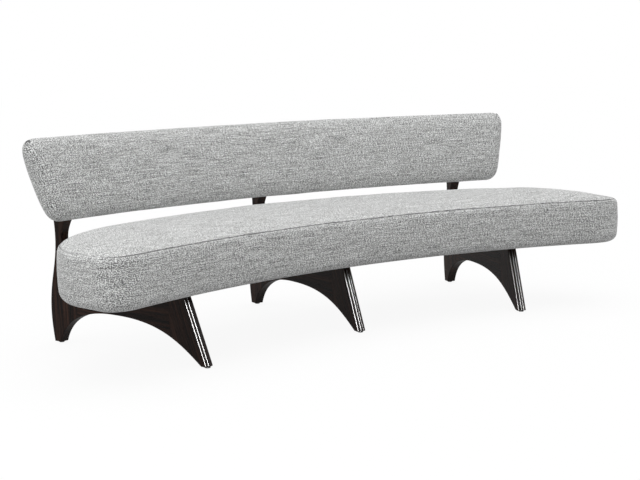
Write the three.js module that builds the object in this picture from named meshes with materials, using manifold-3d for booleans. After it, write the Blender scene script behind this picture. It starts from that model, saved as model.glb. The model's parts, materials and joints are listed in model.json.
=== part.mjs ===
// A curved sofa without arms: a crescent seat and a curved, leaning backrest, both upholstered,
// carried by three wooden side frames that fan out under them.
//
// Units are millimetres, +Z is up and the sitter faces -Y. The plan is drawn about the fan point,
// a point in front of the sofa that the three side frames all point at. "Reach" is the distance
// from the fan point along a frame. At the end the whole sofa is moved so that the origin is on
// the floor under the middle of its bounding box.

import * as THREE from 'three';
import { mergeVertices } from 'three/addons/utils/BufferGeometryUtils.js';
import Module from 'manifold-3d';

const wasm = await Module();
wasm.setup();

// Driving dimensions

const gap = 0.3; // between pieces that touch
const overrun = 5; // how far a cutting shape passes the face that it cuts

const seat = {
  frontReach: 2273, // fan point to the middle of the front edge
  depth: 618, // front edge to back edge, on the middle line
  frontArcRadius: 2833,
  backArcRadius: 2001,
  halfLength: 1080, // half length of the flat outline before it is bent to the two arcs
  frontArcShare: 1.0444, // half of the front arc, to the square corner, against halfLength
  backArcShare: 1.1852, // half of the back arc likewise
  frontCornerShare: 0.19, // corner radius in the flat outline, against the depth
  backCornerShare: 0.584,
  underside: 247.5, // height of the upholstered underside
  top: 446.5, // height of the crown
  lowerEdgeRadius: 36,
  upperEdgeRadius: 25,
  crownReach: 257, // how far in from the side the crown stops rising
  crownRise: 26.5,
  sideSwell: 2.4,
  seamAngle: 63, // degrees round the upper edge at which the top panel is sewn to the border
};

const box = {
  railInset: 38, // seat outline to the outer face of the rails
  railThickness: 28,
  railHeight: 70,
  deckThickness: 12,
  memberWidth: 70,
};

const back = {
  overhang: 4, // middle of the backrest's core, at its mid height, inside the seat's rear edge
  arcRadius: 3504,
  midHeight: 593.5,
  height: 288, // along the lean
  thickness: 102,
  lengthShare: 0.98, // of the seat's half length, measured along the arc at mid height
  leanAngle: 13.4, // degrees from upright
  flareShare: 0.2, // length gained at each end per unit of height
  roundnessShare: 2.38, // exponent of the cross-section: 2 is an ellipse, more is squarer
  endRounding: 53,
  lowerCornerRadius: 49,
  upperCornerRadius: 56,
  seamAngle: 38, // degrees round the rear edge at which the rear panel is sewn on
  faceAngle: 86, // degrees round to the last ring before the flat middle of a face
};

const spine = {
  thickness: 18,
  height: 186,
  endInset: 90, // backrest's end to the spine's end
  rearInset: 14, // backrest's rear face to the spine's rear face
};

const cover = {
  thickness: 3, // woven cover on its wadding
  returnWidth: 20, // turned under the rails
  dustThickness: 0.8,
  dustLap: 12, // dust cover over the turned edge
};

const frame = {
  sideShare: 0.713, // where the side frames stand, of the seat's half length
  thickness: 36,
  edgeRounding: 3,
  toeSetback: 51, // seat's front edge to the toe's front face, at the floor
  rakeShare: 0.4, // how far the front face moves back for each unit of height
  toeDepth: 20,
  crownShare: 0.584, // where the arch is highest, from the toe to the rear foot's inner side
  crownHeight: 131.5,
  legJointShare: 0.223, // glue joint of front leg and cross rail, on the same line
  postJointShare: 0.866, // glue joint of cross rail and rear post
  riseShare: 0.884, // where the post leaves the level of the rail
  heelSetback: 127.5, // backrest's core to the rear foot's inner side, at the floor
  heelDepth: 30,
  waistSetback: 101, // backrest's core to the front edge of the post at its narrowest
  waistHeight: 378,
  throatSetback: 78, // the same to the front edge of the post just under the backrest
  throatHeight: 440,
  shoulderSetback: 136, // the same to the rear edge of the post at the throat
  throatLeanShare: 0.6, // how far the post's front edge moves forward for each unit of height above it
  headRise: 46.5, // top of the post's head above the backrest's mid height
  headTipDepth: 26,
};

// The rear edge of foot and post swells out and draws in again: handles of its curve
const rearEdge = {
  footHandleRun: 44,
  footHandleRise: 225,
  shoulderHandleRun: -24,
  shoulderHandleDrop: 182,
};

// The arch is two curves that meet level at its crown: handles of its curves
const arch = {
  toeHandleRun: 103,
  toeHandleRise: 81,
  crownFrontHandle: 195,
  crownRearHandle: 44,
  heelHandleRun: -46,
  heelHandleRise: 139,
};

const nose = {
  depth: 8, // the reeds stand out of the leg's front face
  count: 3,
  grooveDepth: 3.2,
};

const glide = { diameter: 19, height: 4.5, stemDiameter: 7, stemLength: 22 };
const dowel = { diameter: 12, length: 60, clearance: 0.3 };
const bolt = {
  diameter: 8,
  headDiameter: 16,
  headHeight: 5,
  clearance: 0.3,
  seatGrip: 42, // thread in the cross member
  backGrip: 15, // thread in the spine
  seatSink: 30, // depth of the counterbore in the arch
  backSink: 8, // depth of the counterbore in the post's rear edge
};

const boltFrontShare = 0.342; // from the toe to the rear foot's inner side
const boltRearShare = 0.55;
const backBoltLow = -38; // along the lean, from mid height
const backBoltHigh = 32;
const dowelLowShare = 0.28; // of the joint's height
const dowelHighShare = 0.72;

const rad = (degrees) => (degrees * Math.PI) / 180;

// Places that follow from the driving dimensions, as reaches from the fan point
const backReach = seat.frontReach + seat.depth - back.overhang;
const backHalfLength = back.lengthShare * seat.halfLength;
const toeReach = seat.frontReach + frame.toeSetback;
const heelReach = backReach + frame.heelSetback;
const archReach = (share) => toeReach + (heelReach - toeReach) * share;
const crownReach = archReach(frame.crownShare);
const legJointReach = archReach(frame.legJointShare);
const postJointReach = archReach(frame.postJointShare);
const riseReach = archReach(frame.riseShare);
const waistReach = backReach + frame.waistSetback;
const throatReach = backReach + frame.throatSetback;
const shoulderReach = backReach + frame.shoulderSetback;
const fan = Math.asin((frame.sideShare * seat.halfLength) / (seat.frontReach + seat.depth / 2));

// How finely the curves are cut into facets
const facets = {
  seatEdgeCount: 16, // along the seat's front and its back
  frontCornerCount: 4,
  seatEndCount: 2,
  backCornerCount: 6,
  lowerEdgeCount: 3,
  upperEdgeCount: 2,
  crownCount: 4,
  backEdgeCount: 16, // along the backrest's top and its bottom
  pillowCornerCount: 4,
  pillowFrontCount: 5, // from the middle of the face to the rim
  pillowRimCount: 2, // from the rim to the rear seam
  pillowRearCount: 3,
  outlineCount: 8, // each curve of a side frame
  headCount: 5,
  searchCount: 60, // where a curve is searched for a height
  reedCount: 4,
  roundCount: 12,
};

// Materials, one for each mesh

const finishes = {
  darkWood: { color: 0x2b2423, roughness: 0.35, metalness: 0 },
  boxWood: { color: 0xc6a878, roughness: 0.8, metalness: 0 },
  fabric: { color: 0xb4b4b3, roughness: 0.95, metalness: 0 },
  foam: { color: 0xe9e2c8, roughness: 1, metalness: 0 },
  dustCloth: { color: 0x1c1c1e, roughness: 1, metalness: 0 },
  steel: { color: 0x9a9a9c, roughness: 0.4, metalness: 0.9 },
  plastic: { color: 0x141414, roughness: 0.5, metalness: 0 },
};

const sofa = new THREE.Group();

function addPiece(name, geometry, finish) {
  const mesh = new THREE.Mesh(geometry, new THREE.MeshStandardMaterial(finishes[finish]));
  mesh.name = name;
  sofa.add(mesh);
}

// Solids: closed skins, and cuts and joins

function volumeOf(positions, triangles) {
  let sum = 0;
  const [a, b, c] = [new THREE.Vector3(), new THREE.Vector3(), new THREE.Vector3()];
  for (let i = 0; i < triangles.length; i += 3) {
    a.fromArray(positions, 3 * triangles[i]);
    b.fromArray(positions, 3 * triangles[i + 1]);
    c.fromArray(positions, 3 * triangles[i + 2]);
    sum += a.dot(b.cross(c));
  }
  return sum;
}

function closedGeometry(positions, triangles) {
  const outward = volumeOf(positions, triangles) > 0;
  const index = outward ? triangles : triangles.slice().reverse();
  const geometry = new THREE.BufferGeometry();
  geometry.setAttribute('position', new THREE.Float32BufferAttribute(positions, 3));
  geometry.setIndex(index);
  return geometry;
}

// A skin over rings of points, all with the same count. Each end is closed by a cap, a list of
// triangles over one ring; without caps the last ring joins the first and the skin is a tube
// that closes on itself. Each facet is split along its shorter diagonal, so skins inside each
// other stay parallel.
function skin(rings, cap) {
  const count = rings[0].length;
  const points = rings.flat();
  const positions = points.flatMap((p) => [p.x, p.y, p.z]);
  const triangles = [];
  const strips = cap ? rings.length - 1 : rings.length;
  for (let r = 0; r < strips; r++) {
    const next = (r + 1) % rings.length;
    for (let i = 0; i < count; i++) {
      const j = (i + 1) % count;
      const [a, b, c, d] = [r * count + i, r * count + j, next * count + j, next * count + i];
      const shortFirst = points[a].distanceTo(points[c]) < points[b].distanceTo(points[d]);
      triangles.push(...(shortFirst ? [a, b, c, a, c, d] : [a, b, d, b, c, d]));
    }
  }
  if (cap) {
    const last = (rings.length - 1) * count;
    for (const [a, b, c] of cap) {
      triangles.push(a, c, b);
      triangles.push(last + a, last + b, last + c);
    }
  }
  return closedGeometry(positions, triangles);
}

function fanCap(count) {
  const cap = [];
  for (let i = 1; i < count - 1; i++) cap.push([0, i, i + 1]);
  return cap;
}

// A cap for a long outline: rungs across from its near edge to its far edge
function ladderCap(count, nearSteps, endSteps) {
  const cap = [];
  const across = (i) => (((2 * nearSteps + endSteps - i) % count) + count) % count;
  for (let i = 0; i < nearSteps; i++) {
    cap.push([i, i + 1, across(i + 1)], [i, across(i + 1), across(i)]);
  }
  const fan = (from, length) => {
    for (let i = 1; i < length; i++) cap.push([from, (from + i) % count, (from + i + 1) % count]);
  };
  fan(nearSteps, endSteps);
  fan(2 * nearSteps + endSteps, endSteps);
  return cap;
}

// A cap for any other outline, its triangles wound like the outline itself
function outlineCap(corners) {
  const area = (points) => THREE.ShapeUtils.area(points);
  const triangles = THREE.ShapeUtils.triangulateShape(corners, []);
  return triangles.map((triangle) => {
    const alike = area(triangle.map((i) => corners[i])) * area(corners) > 0;
    return alike ? triangle : triangle.slice().reverse();
  });
}

function toSolid(geometry) {
  const bare = geometry.clone();
  bare.deleteAttribute('normal');
  bare.deleteAttribute('uv');
  const merged = mergeVertices(bare);
  const vertProperties = merged.attributes.position.array;
  const triVerts = Uint32Array.from(merged.index.array);
  return new wasm.Manifold(new wasm.Mesh({ numProp: 3, vertProperties, triVerts }));
}

function toGeometry(solid) {
  const mesh = solid.getMesh();
  const geometry = new THREE.BufferGeometry();
  geometry.setAttribute('position', new THREE.BufferAttribute(mesh.vertProperties, 3));
  geometry.setIndex(new THREE.BufferAttribute(mesh.triVerts, 1));
  return geometry;
}

function cut(geometry, tools) {
  let solid = toSolid(geometry);
  for (const tool of tools) solid = solid.subtract(toSolid(tool));
  return toGeometry(solid);
}

function join(first, second) {
  return toGeometry(toSolid(first).add(toSolid(second)));
}

function common(first, second) {
  return toGeometry(toSolid(first).intersect(toSolid(second)));
}

// Lathed and round shapes are made about Y and then turned to their axis
function turnFromY(axis) {
  return new THREE.Quaternion().setFromUnitVectors(new THREE.Vector3(0, 1, 0), axis);
}

// A round bar from one point to another
function bar(from, to, diameter) {
  const axis = new THREE.Vector3().subVectors(to, from);
  const shape = new THREE.CylinderGeometry(diameter / 2, diameter / 2, axis.length(), facets.roundCount);
  shape.applyQuaternion(turnFromY(axis.normalize()));
  const middle = new THREE.Vector3().addVectors(from, to).multiplyScalar(1 / 2);
  return shape.translate(middle.x, middle.y, middle.z);
}

// A bolt or a glide: a profile of radius and distance, turned about the line from one point to another
function turned(profile, from, towards) {
  const axis = new THREE.Vector3().subVectors(towards, from).normalize();
  const shape = new THREE.LatheGeometry(
    profile.map(([radius, along]) => new THREE.Vector2(radius, along)),
    facets.roundCount,
  );
  shape.applyQuaternion(turnFromY(axis));
  return toGeometry(toSolid(shape.translate(from.x, from.y, from.z)));
}

// Outlines of cushions: a rectangle with round corners, its points counted alike at every inset.
// Points run along the near edge, up one end, back along the far edge and down the other end.
function roundedOutline(halfLength, near, far, nearRadius, farRadius, count) {
  const points = [];
  const corner = (x, y, radius, start, stepsRound) => {
    for (let i = 0; i < stepsRound; i++) {
      const turn = start + (i / stepsRound) * (Math.PI / 2);
      points.push([x + radius * Math.cos(turn), y + radius * Math.sin(turn)]);
    }
  };
  const edge = (x0, y0, x1, y1, parts) => {
    for (let i = 0; i < parts; i++) {
      points.push([x0 + ((x1 - x0) * i) / parts, y0 + ((y1 - y0) * i) / parts]);
    }
  };
  edge(-halfLength + nearRadius, near, halfLength - nearRadius, near, count.edge);
  corner(halfLength - nearRadius, near + nearRadius, nearRadius, -Math.PI / 2, count.near);
  edge(halfLength, near + nearRadius, halfLength, far - farRadius, count.end);
  corner(halfLength - farRadius, far - farRadius, farRadius, 0, count.far);
  edge(halfLength - farRadius, far, -halfLength + farRadius, far, count.edge);
  corner(-halfLength + farRadius, far - farRadius, farRadius, Math.PI / 2, count.far);
  edge(-halfLength, far - farRadius, -halfLength, near + nearRadius, count.end);
  corner(-halfLength + nearRadius, near + nearRadius, nearRadius, Math.PI, count.near);
  return points;
}

// The seat's plan is ruled between its front arc and its back arc

const seatCount = {
  edge: facets.seatEdgeCount,
  near: facets.frontCornerCount,
  end: facets.seatEndCount,
  far: facets.backCornerCount,
};
const seatEndSteps = facets.frontCornerCount + facets.seatEndCount + facets.backCornerCount;
const smallestRadiusShare = 0.3; // of an inset outline's corner, against the edge rounding

function arcPoint(radius, apex, along) {
  const turn = along / radius;
  return new THREE.Vector2(radius * Math.sin(turn), apex - radius + radius * Math.cos(turn));
}

function seatPoint(across, behind, height) {
  const share = behind / seat.depth;
  const front = arcPoint(seat.frontArcRadius, seat.frontReach, across * seat.frontArcShare);
  const rearApex = seat.frontReach + seat.depth;
  const rear = arcPoint(seat.backArcRadius, rearApex, across * seat.backArcShare);
  const place = front.lerp(rear, share);
  return new THREE.Vector3(place.x, place.y, height);
}

function seatOutline(inset) {
  const least = smallestRadiusShare * seat.upperEdgeRadius;
  return roundedOutline(
    seat.halfLength - inset,
    inset,
    seat.depth - inset,
    Math.max(seat.frontCornerShare * seat.depth - inset, least),
    Math.max(seat.backCornerShare * seat.depth - inset, least),
    seatCount,
  );
}

function seatRing(inset, height) {
  return seatOutline(inset).map(([across, behind]) => seatPoint(across, behind, height));
}

const seatLadder = ladderCap(seatRing(0, 0).length, facets.seatEdgeCount, seatEndSteps);

// A flat slab of the seat's outline, inset all round
function seatSlab(inset, bottom, top) {
  return skin([seatRing(inset, bottom), seatRing(inset, top)], seatLadder);
}

// The seat's cross-section as pairs of inset and height, from the turned-under edge to the crown.
// A skin inside another one has a smaller edge radius and a larger inset.

const crownSlope = (2 * seat.crownRise) / (seat.crownReach - seat.upperEdgeRadius);
const upperTurnEnd = Math.PI / 2 - Math.atan(crownSlope);
const upperEdgeCentre =
  seat.top - seat.crownRise - seat.upperEdgeRadius * Math.sin(upperTurnEnd);

function upperEdge(inside, turn) {
  const radius = seat.upperEdgeRadius - inside;
  return [seat.upperEdgeRadius - radius * Math.cos(turn), upperEdgeCentre + radius * Math.sin(turn)];
}

function lowerEdge(inside, turn) {
  const radius = seat.lowerEdgeRadius - inside;
  const centre = seat.underside + seat.lowerEdgeRadius;
  return [seat.lowerEdgeRadius - radius * Math.sin(turn), centre - radius * Math.cos(turn)];
}

function arcOf(place, inside, from, to, parts) {
  const points = [];
  for (let i = 0; i <= parts; i++) points.push(place(inside, from + ((to - from) * i) / parts));
  return points;
}

// Between its two edges the side swells out a little, most at its middle
const sideMiddle = (seat.underside + seat.lowerEdgeRadius + upperEdgeCentre) / 2;

function sideAt(inside, height) {
  const share = Math.abs(height - sideMiddle) / (upperEdgeCentre - sideMiddle);
  return [inside - seat.sideSwell * (1 - share), height];
}

function crownOf(inside) {
  const [start, level] = upperEdge(inside, upperTurnEnd);
  const rise = seat.top - inside - level;
  const points = [];
  for (let i = 1; i <= facets.crownCount; i++) {
    const share = i / facets.crownCount;
    points.push([start + (seat.crownReach - start) * share, level + rise * (1 - (1 - share) ** 2)]);
  }
  return points;
}

const seamTurn = rad(seat.seamAngle);
const seamSlit = gap / 2 / seat.upperEdgeRadius;
const returnInset = seat.lowerEdgeRadius + cover.returnWidth;

function borderProfile(inside) {
  return [
    [returnInset, seat.underside + inside],
    ...arcOf(lowerEdge, inside, 0, Math.PI / 2, facets.lowerEdgeCount),
    sideAt(inside, sideMiddle),
    ...arcOf(upperEdge, inside, 0, seamTurn - seamSlit, facets.upperEdgeCount),
  ];
}

function topProfile(inside) {
  return [upperEdge(inside, seamTurn + seamSlit), upperEdge(inside, upperTurnEnd), ...crownOf(inside)];
}

const ringsOf = (profile) => profile.map(([inset, height]) => seatRing(inset, height));

function seatBorderCover() {
  return skin([...ringsOf(borderProfile(0)), ...ringsOf(borderProfile(cover.thickness)).reverse()]);
}

function seatTopCover() {
  const inner = ringsOf(topProfile(cover.thickness)).reverse();
  return skin([...inner, ...ringsOf(topProfile(0))], seatLadder);
}

// Levels in the seat box, from the cover's turned edge upwards
const padding = cover.thickness + gap;
const railBottom = seat.underside + padding;
const railTop = railBottom + box.railHeight;
const memberBottom = seat.underside;
const deckBottom = railTop + gap;
const deckTop = deckBottom + box.deckThickness;

function seatFoam() {
  const start = deckTop + gap;
  const profile = [
    sideAt(padding, start),
    sideAt(padding, sideMiddle),
    ...arcOf(upperEdge, padding, 0, seamTurn, facets.upperEdgeCount),
    upperEdge(padding, upperTurnEnd),
    ...crownOf(padding),
  ];
  return skin(ringsOf(profile), seatLadder);
}

function borderFoam() {
  const railFace = box.railInset - gap;
  const lower = arcOf(lowerEdge, padding, 0, Math.PI / 2, facets.lowerEdgeCount).slice(1);
  const outer = [...lower, sideAt(padding, deckTop)];
  const [, lowHeight] = lower[0];
  const inner = [
    [railFace, deckTop],
    [railFace, lowHeight],
  ];
  return skin(ringsOf([...outer, ...inner]));
}

// Rails follow a stretch of the seat's outline
function rail(first, last) {
  const outer = seatOutline(box.railInset);
  const inner = seatOutline(box.railInset + box.railThickness);
  const count = outer.length;
  const sections = [];
  for (let i = first; i <= last; i++) {
    const nudge = (list) => {
      const here = list[((i % count) + count) % count];
      if (i > first && i < last) return here;
      const other = list[(((i === first ? i + 1 : i - 1) % count) + count) % count];
      const length = Math.hypot(other[0] - here[0], other[1] - here[1]);
      const share = gap / 2 / length;
      return [here[0] + (other[0] - here[0]) * share, here[1] + (other[1] - here[1]) * share];
    };
    const [a, b] = [nudge(outer), nudge(inner)];
    sections.push([
      seatPoint(a[0], a[1], railBottom),
      seatPoint(b[0], b[1], railBottom),
      seatPoint(b[0], b[1], railTop),
      seatPoint(a[0], a[1], railTop),
    ]);
  }
  return skin(sections, fanCap(4));
}

// A place in the upright plane of a side frame: reach from the fan point, height, and offset
// to the frame's side
function framePoint(angle, reach, height, offset = 0) {
  return new THREE.Vector3(
    reach * Math.sin(angle) + offset * Math.cos(angle),
    reach * Math.cos(angle) - offset * Math.sin(angle),
    height,
  );
}

function crossMember(angle) {
  const half = box.memberWidth / 2;
  const [near, far] = [seat.frontReach - seat.depth / 2, seat.frontReach + 2 * seat.depth];
  const section = (reach) => [
    framePoint(angle, reach, memberBottom, -half),
    framePoint(angle, reach, memberBottom, half),
    framePoint(angle, reach, railTop, half),
    framePoint(angle, reach, railTop, -half),
  ];
  const inside = box.railInset + box.railThickness + gap;
  const blank = skin([section(near), section(far)], fanCap(4));
  return common(blank, seatSlab(inside, memberBottom - overrun, railTop + overrun));
}

// The backrest: a long pillow, its core bent to an arc and leaning back.
// Along runs to the sofa's right, up along the lean, and out towards the rear.

const lean = rad(back.leanAngle);
const backCount = {
  edge: facets.backEdgeCount,
  near: facets.pillowCornerCount,
  end: 1,
  far: facets.pillowCornerCount,
};
const backEndSteps = 2 * facets.pillowCornerCount + 1;

function backPoint(along, up, out) {
  const radius = back.arcRadius + up * Math.sin(lean) + out * Math.cos(lean);
  const spread = along * (1 + (back.flareShare * up) / backHalfLength);
  const turn = spread / back.arcRadius;
  return new THREE.Vector3(
    radius * Math.sin(turn),
    backReach - back.arcRadius + radius * Math.cos(turn),
    back.midHeight + up * Math.cos(lean) - out * Math.sin(lean),
  );
}

const almostAllShare = 0.98; // of a ring's half height, that its corners may take up

// One ring of the pillow. Turn is 0 where the pillow is tallest and 90 degrees at its face;
// inside shrinks the pillow to leave room for the skins around it.
function backRing(turn, inside) {
  const power = 2 / back.roundnessShare;
  const high = (back.height / 2 - inside) * Math.cos(turn) ** power;
  const out = (back.thickness / 2 - inside) * Math.sign(turn) * Math.abs(Math.sin(turn)) ** power;
  const thick = Math.min(Math.abs(out) / (back.thickness / 2 - inside), 1);
  const rounding = back.endRounding * (1 - Math.sqrt(1 - thick ** 2));
  const cornerOf = (radius) => Math.min(radius + (high - radius) * thick ** 2, high * almostAllShare);
  return roundedOutline(
    backHalfLength - inside - rounding,
    -high,
    high,
    cornerOf(back.lowerCornerRadius - inside),
    cornerOf(back.upperCornerRadius - inside),
    backCount,
  ).map(([along, up]) => backPoint(along, up, out));
}

const faceTurn = rad(back.faceAngle);
const backLadder = ladderCap(backRing(0, 0).length, facets.backEdgeCount, backEndSteps);

function backRings(from, to, parts, inside) {
  const rings = [];
  for (let i = 0; i <= parts; i++) rings.push(backRing(from + ((to - from) * i) / parts, inside));
  return rings;
}

const rearSeam = rad(back.seamAngle);
const rearSlit = gap / back.lowerCornerRadius;

// From the middle of the front face over the edge to the rear seam, and from there to the rear face
function frontBackRings(inside, end) {
  const front = backRings(-faceTurn, 0, facets.pillowFrontCount, inside);
  return [...front, ...backRings(0, end, facets.pillowRimCount, inside).slice(1)];
}

function rearBackRings(inside) {
  return backRings(rearSeam, faceTurn, facets.pillowRearCount, inside);
}

function frontBackCover() {
  const shell = (inside) => frontBackRings(inside, rearSeam - rearSlit);
  return skin([...shell(cover.thickness), ...shell(0).reverse()], backLadder);
}

function rearBackCover() {
  return skin([...rearBackRings(cover.thickness).reverse(), ...rearBackRings(0)], backLadder);
}

function backFoam() {
  return skin([...frontBackRings(padding, rearSeam), ...rearBackRings(padding).slice(1)], backLadder);
}

function spineBody(clearance) {
  const rear = back.thickness / 2 - spine.rearInset + clearance;
  const front = rear - spine.thickness - 2 * clearance;
  const high = spine.height / 2 + clearance;
  const end = backHalfLength - spine.endInset + clearance;
  const sections = [];
  for (let i = 0; i <= facets.backEdgeCount; i++) {
    const along = -end + (2 * end * i) / facets.backEdgeCount;
    sections.push([
      backPoint(along, -high, front),
      backPoint(along, high, front),
      backPoint(along, high, rear),
      backPoint(along, -high, rear),
    ]);
  }
  return skin(sections, fanCap(4));
}

// Side frames

// Where a frame's plane crosses the backrest's core line, as reach and as distance along the core
function backCrossing(angle) {
  const centre = backReach - back.arcRadius;
  const halfB = -centre * Math.cos(angle);
  const reach = -halfB + Math.sqrt(halfB ** 2 - centre ** 2 + back.arcRadius ** 2);
  const along = back.arcRadius * Math.asin((reach * Math.sin(angle)) / back.arcRadius);
  return { reach, along };
}

// Reach and height of the backrest's rear face at a height along the lean, with the room that a
// post of this thickness needs beside a face that stands slightly askew to it
function rearFace(angle, up) {
  const { reach, along } = backCrossing(angle);
  const skew = Math.abs(angle - along / back.arcRadius);
  const room = gap + (frame.thickness / 2) * Math.tan(skew);
  const share = Math.abs(up) / (back.height / 2);
  const swell = (1 - share ** back.roundnessShare) ** (1 / back.roundnessShare);
  const out = (back.thickness / 2) * swell + room;
  const height = back.midHeight + up * Math.cos(lean) - out * Math.sin(lean);
  return [reach + up * Math.sin(lean) + out * Math.cos(lean), height];
}

const frameTop = seat.underside - gap - cover.dustThickness - gap;
const footBottom = glide.height + gap;
const frontFace = (height) => toeReach + frame.rakeShare * height;

// How far along the lean the post's front edge, sweeping forward above the throat, meets the
// backrest's rear face
function headMeeting(angle) {
  for (let i = 0; i < facets.searchCount; i++) {
    const up = (i / facets.searchCount - 1 / 2) * back.height;
    const [faceReach, faceHeight] = rearFace(angle, up);
    const edgeReach = throatReach - frame.throatLeanShare * (faceHeight - frame.throatHeight);
    if (faceHeight > frame.throatHeight && edgeReach < faceReach) return up;
  }
  return 0;
}

// The frame's outline in its own plane, x is reach and y is height
function frameOutline(angle) {
  const shape = new THREE.Shape();
  const headLow = headMeeting(angle);
  const headHigh = frame.headRise / Math.cos(lean);
  shape.moveTo(frontFace(footBottom), footBottom);
  shape.lineTo(frontFace(frameTop), frameTop);
  shape.lineTo(riseReach, frameTop);
  shape.bezierCurveTo(
    (riseReach + waistReach) / 2,
    frameTop,
    waistReach,
    (frameTop + frame.waistHeight) / 2,
    waistReach,
    frame.waistHeight,
  );
  const [faceReach, faceHeight] = rearFace(angle, headLow);
  const throatRise = frame.throatHeight - frame.waistHeight;
  shape.bezierCurveTo(
    waistReach,
    frame.waistHeight + throatRise / 3,
    throatReach + (frame.throatLeanShare * throatRise) / 3,
    frame.throatHeight - throatRise / 3,
    throatReach,
    frame.throatHeight,
  );
  shape.lineTo(faceReach, faceHeight);
  for (let i = 1; i <= facets.headCount; i++) {
    shape.lineTo(...rearFace(angle, headLow + ((headHigh - headLow) * i) / facets.headCount));
  }
  const [tipReach, tipHeight] = rearFace(angle, headHigh);
  shape.absarc(tipReach + frame.headTipDepth / 2, tipHeight, frame.headTipDepth / 2, Math.PI, 0, true);
  const tipRear = tipReach + frame.headTipDepth;
  shape.bezierCurveTo(
    tipRear,
    (tipHeight + frame.throatHeight) / 2,
    shoulderReach - rearEdge.shoulderHandleRun / 2,
    (tipHeight + frame.throatHeight) / 2,
    shoulderReach,
    frame.throatHeight,
  );
  shape.bezierCurveTo(
    shoulderReach + rearEdge.shoulderHandleRun,
    frame.throatHeight - rearEdge.shoulderHandleDrop,
    heelReach + frame.heelDepth + rearEdge.footHandleRun,
    rearEdge.footHandleRise,
    heelReach + frame.heelDepth,
    footBottom,
  );
  shape.lineTo(heelReach, footBottom);
  shape.bezierCurveTo(
    heelReach + arch.heelHandleRun,
    arch.heelHandleRise,
    crownReach + arch.crownRearHandle,
    frame.crownHeight,
    crownReach,
    frame.crownHeight,
  );
  shape.bezierCurveTo(
    crownReach - arch.crownFrontHandle,
    frame.crownHeight,
    toeReach + frame.toeDepth + arch.toeHandleRun,
    arch.toeHandleRise,
    toeReach + frame.toeDepth,
    footBottom,
  );
  return shape;
}

// Stand a shape drawn in reach and height upright in a frame's plane
function standUp(geometry, angle, firstOffset) {
  const place = geometry.attributes.position;
  for (let i = 0; i < place.count; i++) {
    const p = framePoint(angle, place.getX(i), place.getY(i), firstOffset + place.getZ(i));
    place.setXYZ(i, p.x, p.y, p.z);
  }
  return geometry;
}

function flipped(geometry) {
  const bare = geometry.clone();
  bare.deleteAttribute('normal');
  bare.deleteAttribute('uv');
  const merged = mergeVertices(bare);
  return closedGeometry(Array.from(merged.attributes.position.array), Array.from(merged.index.array));
}

function frameBlank(angle) {
  const rounding = frame.edgeRounding;
  const board = new THREE.ExtrudeGeometry(frameOutline(angle), {
    depth: frame.thickness - 2 * rounding,
    bevelThickness: rounding,
    bevelSize: rounding,
    bevelOffset: -rounding,
    bevelSegments: 1,
    curveSegments: facets.outlineCount,
  });
  const upright = flipped(standUp(board, angle, rounding - frame.thickness / 2));
  return join(upright, reededNose(angle));
}

// The reeds: lobes side by side across the board, standing out of its raked front face
function reededNose(angle) {
  const profile = [];
  const parts = nose.count * facets.reedCount;
  for (let i = 0; i <= parts; i++) {
    const share = i / parts;
    const lobe = Math.abs(Math.sin(share * nose.count * Math.PI));
    const swell = Math.sin(share * Math.PI) ** (1 / 2);
    const stand = nose.depth * swell - nose.grooveDepth * (1 - lobe) * swell;
    profile.push([stand, (share - 1 / 2) * (frame.thickness - frame.edgeRounding)]);
  }
  const ring = (height) => [
    ...profile.map(([stand, offset]) => framePoint(angle, frontFace(height) - stand, height, offset)),
    framePoint(angle, frontFace(height) + overrun, height, profile.at(-1)[1]),
    framePoint(angle, frontFace(height) + overrun, height, profile[0][1]),
  ];
  const corners = [...profile.map(([stand, offset]) => new THREE.Vector2(-stand, offset))];
  corners.push(new THREE.Vector2(overrun, profile.at(-1)[1]), new THREE.Vector2(overrun, profile[0][1]));
  return skin([ring(footBottom), ring(frameTop)], outlineCap(corners));
}

// A block round the part of a frame that lies under the seat, between two reaches
function stretch(angle, from, to) {
  const half = frame.thickness;
  const section = (reach) => [
    framePoint(angle, reach, -overrun, -half),
    framePoint(angle, reach, -overrun, half),
    framePoint(angle, reach, frameTop + overrun, half),
    framePoint(angle, reach, frameTop + overrun, -half),
  ];
  return skin([section(from), section(to)], fanCap(4));
}

// Heights of the arch at the two glue joints are read off the outline's own curves
function archHeightAt(reach) {
  const toe = toeReach + frame.toeDepth;
  const front = new THREE.CubicBezierCurve(
    new THREE.Vector2(crownReach, frame.crownHeight),
    new THREE.Vector2(crownReach - arch.crownFrontHandle, frame.crownHeight),
    new THREE.Vector2(toe + arch.toeHandleRun, arch.toeHandleRise),
    new THREE.Vector2(toe, footBottom),
  );
  const rear = new THREE.CubicBezierCurve(
    new THREE.Vector2(crownReach, frame.crownHeight),
    new THREE.Vector2(crownReach + arch.crownRearHandle, frame.crownHeight),
    new THREE.Vector2(heelReach + arch.heelHandleRun, arch.heelHandleRise),
    new THREE.Vector2(heelReach, footBottom),
  );
  const curve = reach < crownReach ? front : rear;
  const points = curve.getPoints(facets.searchCount);
  points.sort((a, b) => Math.abs(a.x - reach) - Math.abs(b.x - reach));
  return points[0].y;
}

function jointDowels(angle, jointReach) {
  const bottom = archHeightAt(jointReach);
  return [dowelLowShare, dowelHighShare].map((share) => {
    const height = bottom + share * (frameTop - bottom);
    const at = (run) => framePoint(angle, jointReach + run, height);
    const half = dowel.length / 2;
    const deep = half + dowel.clearance;
    return {
      pin: bar(at(-half), at(half), dowel.diameter),
      hole: bar(at(-deep), at(deep), dowel.diameter + 2 * dowel.clearance),
    };
  });
}

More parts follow.
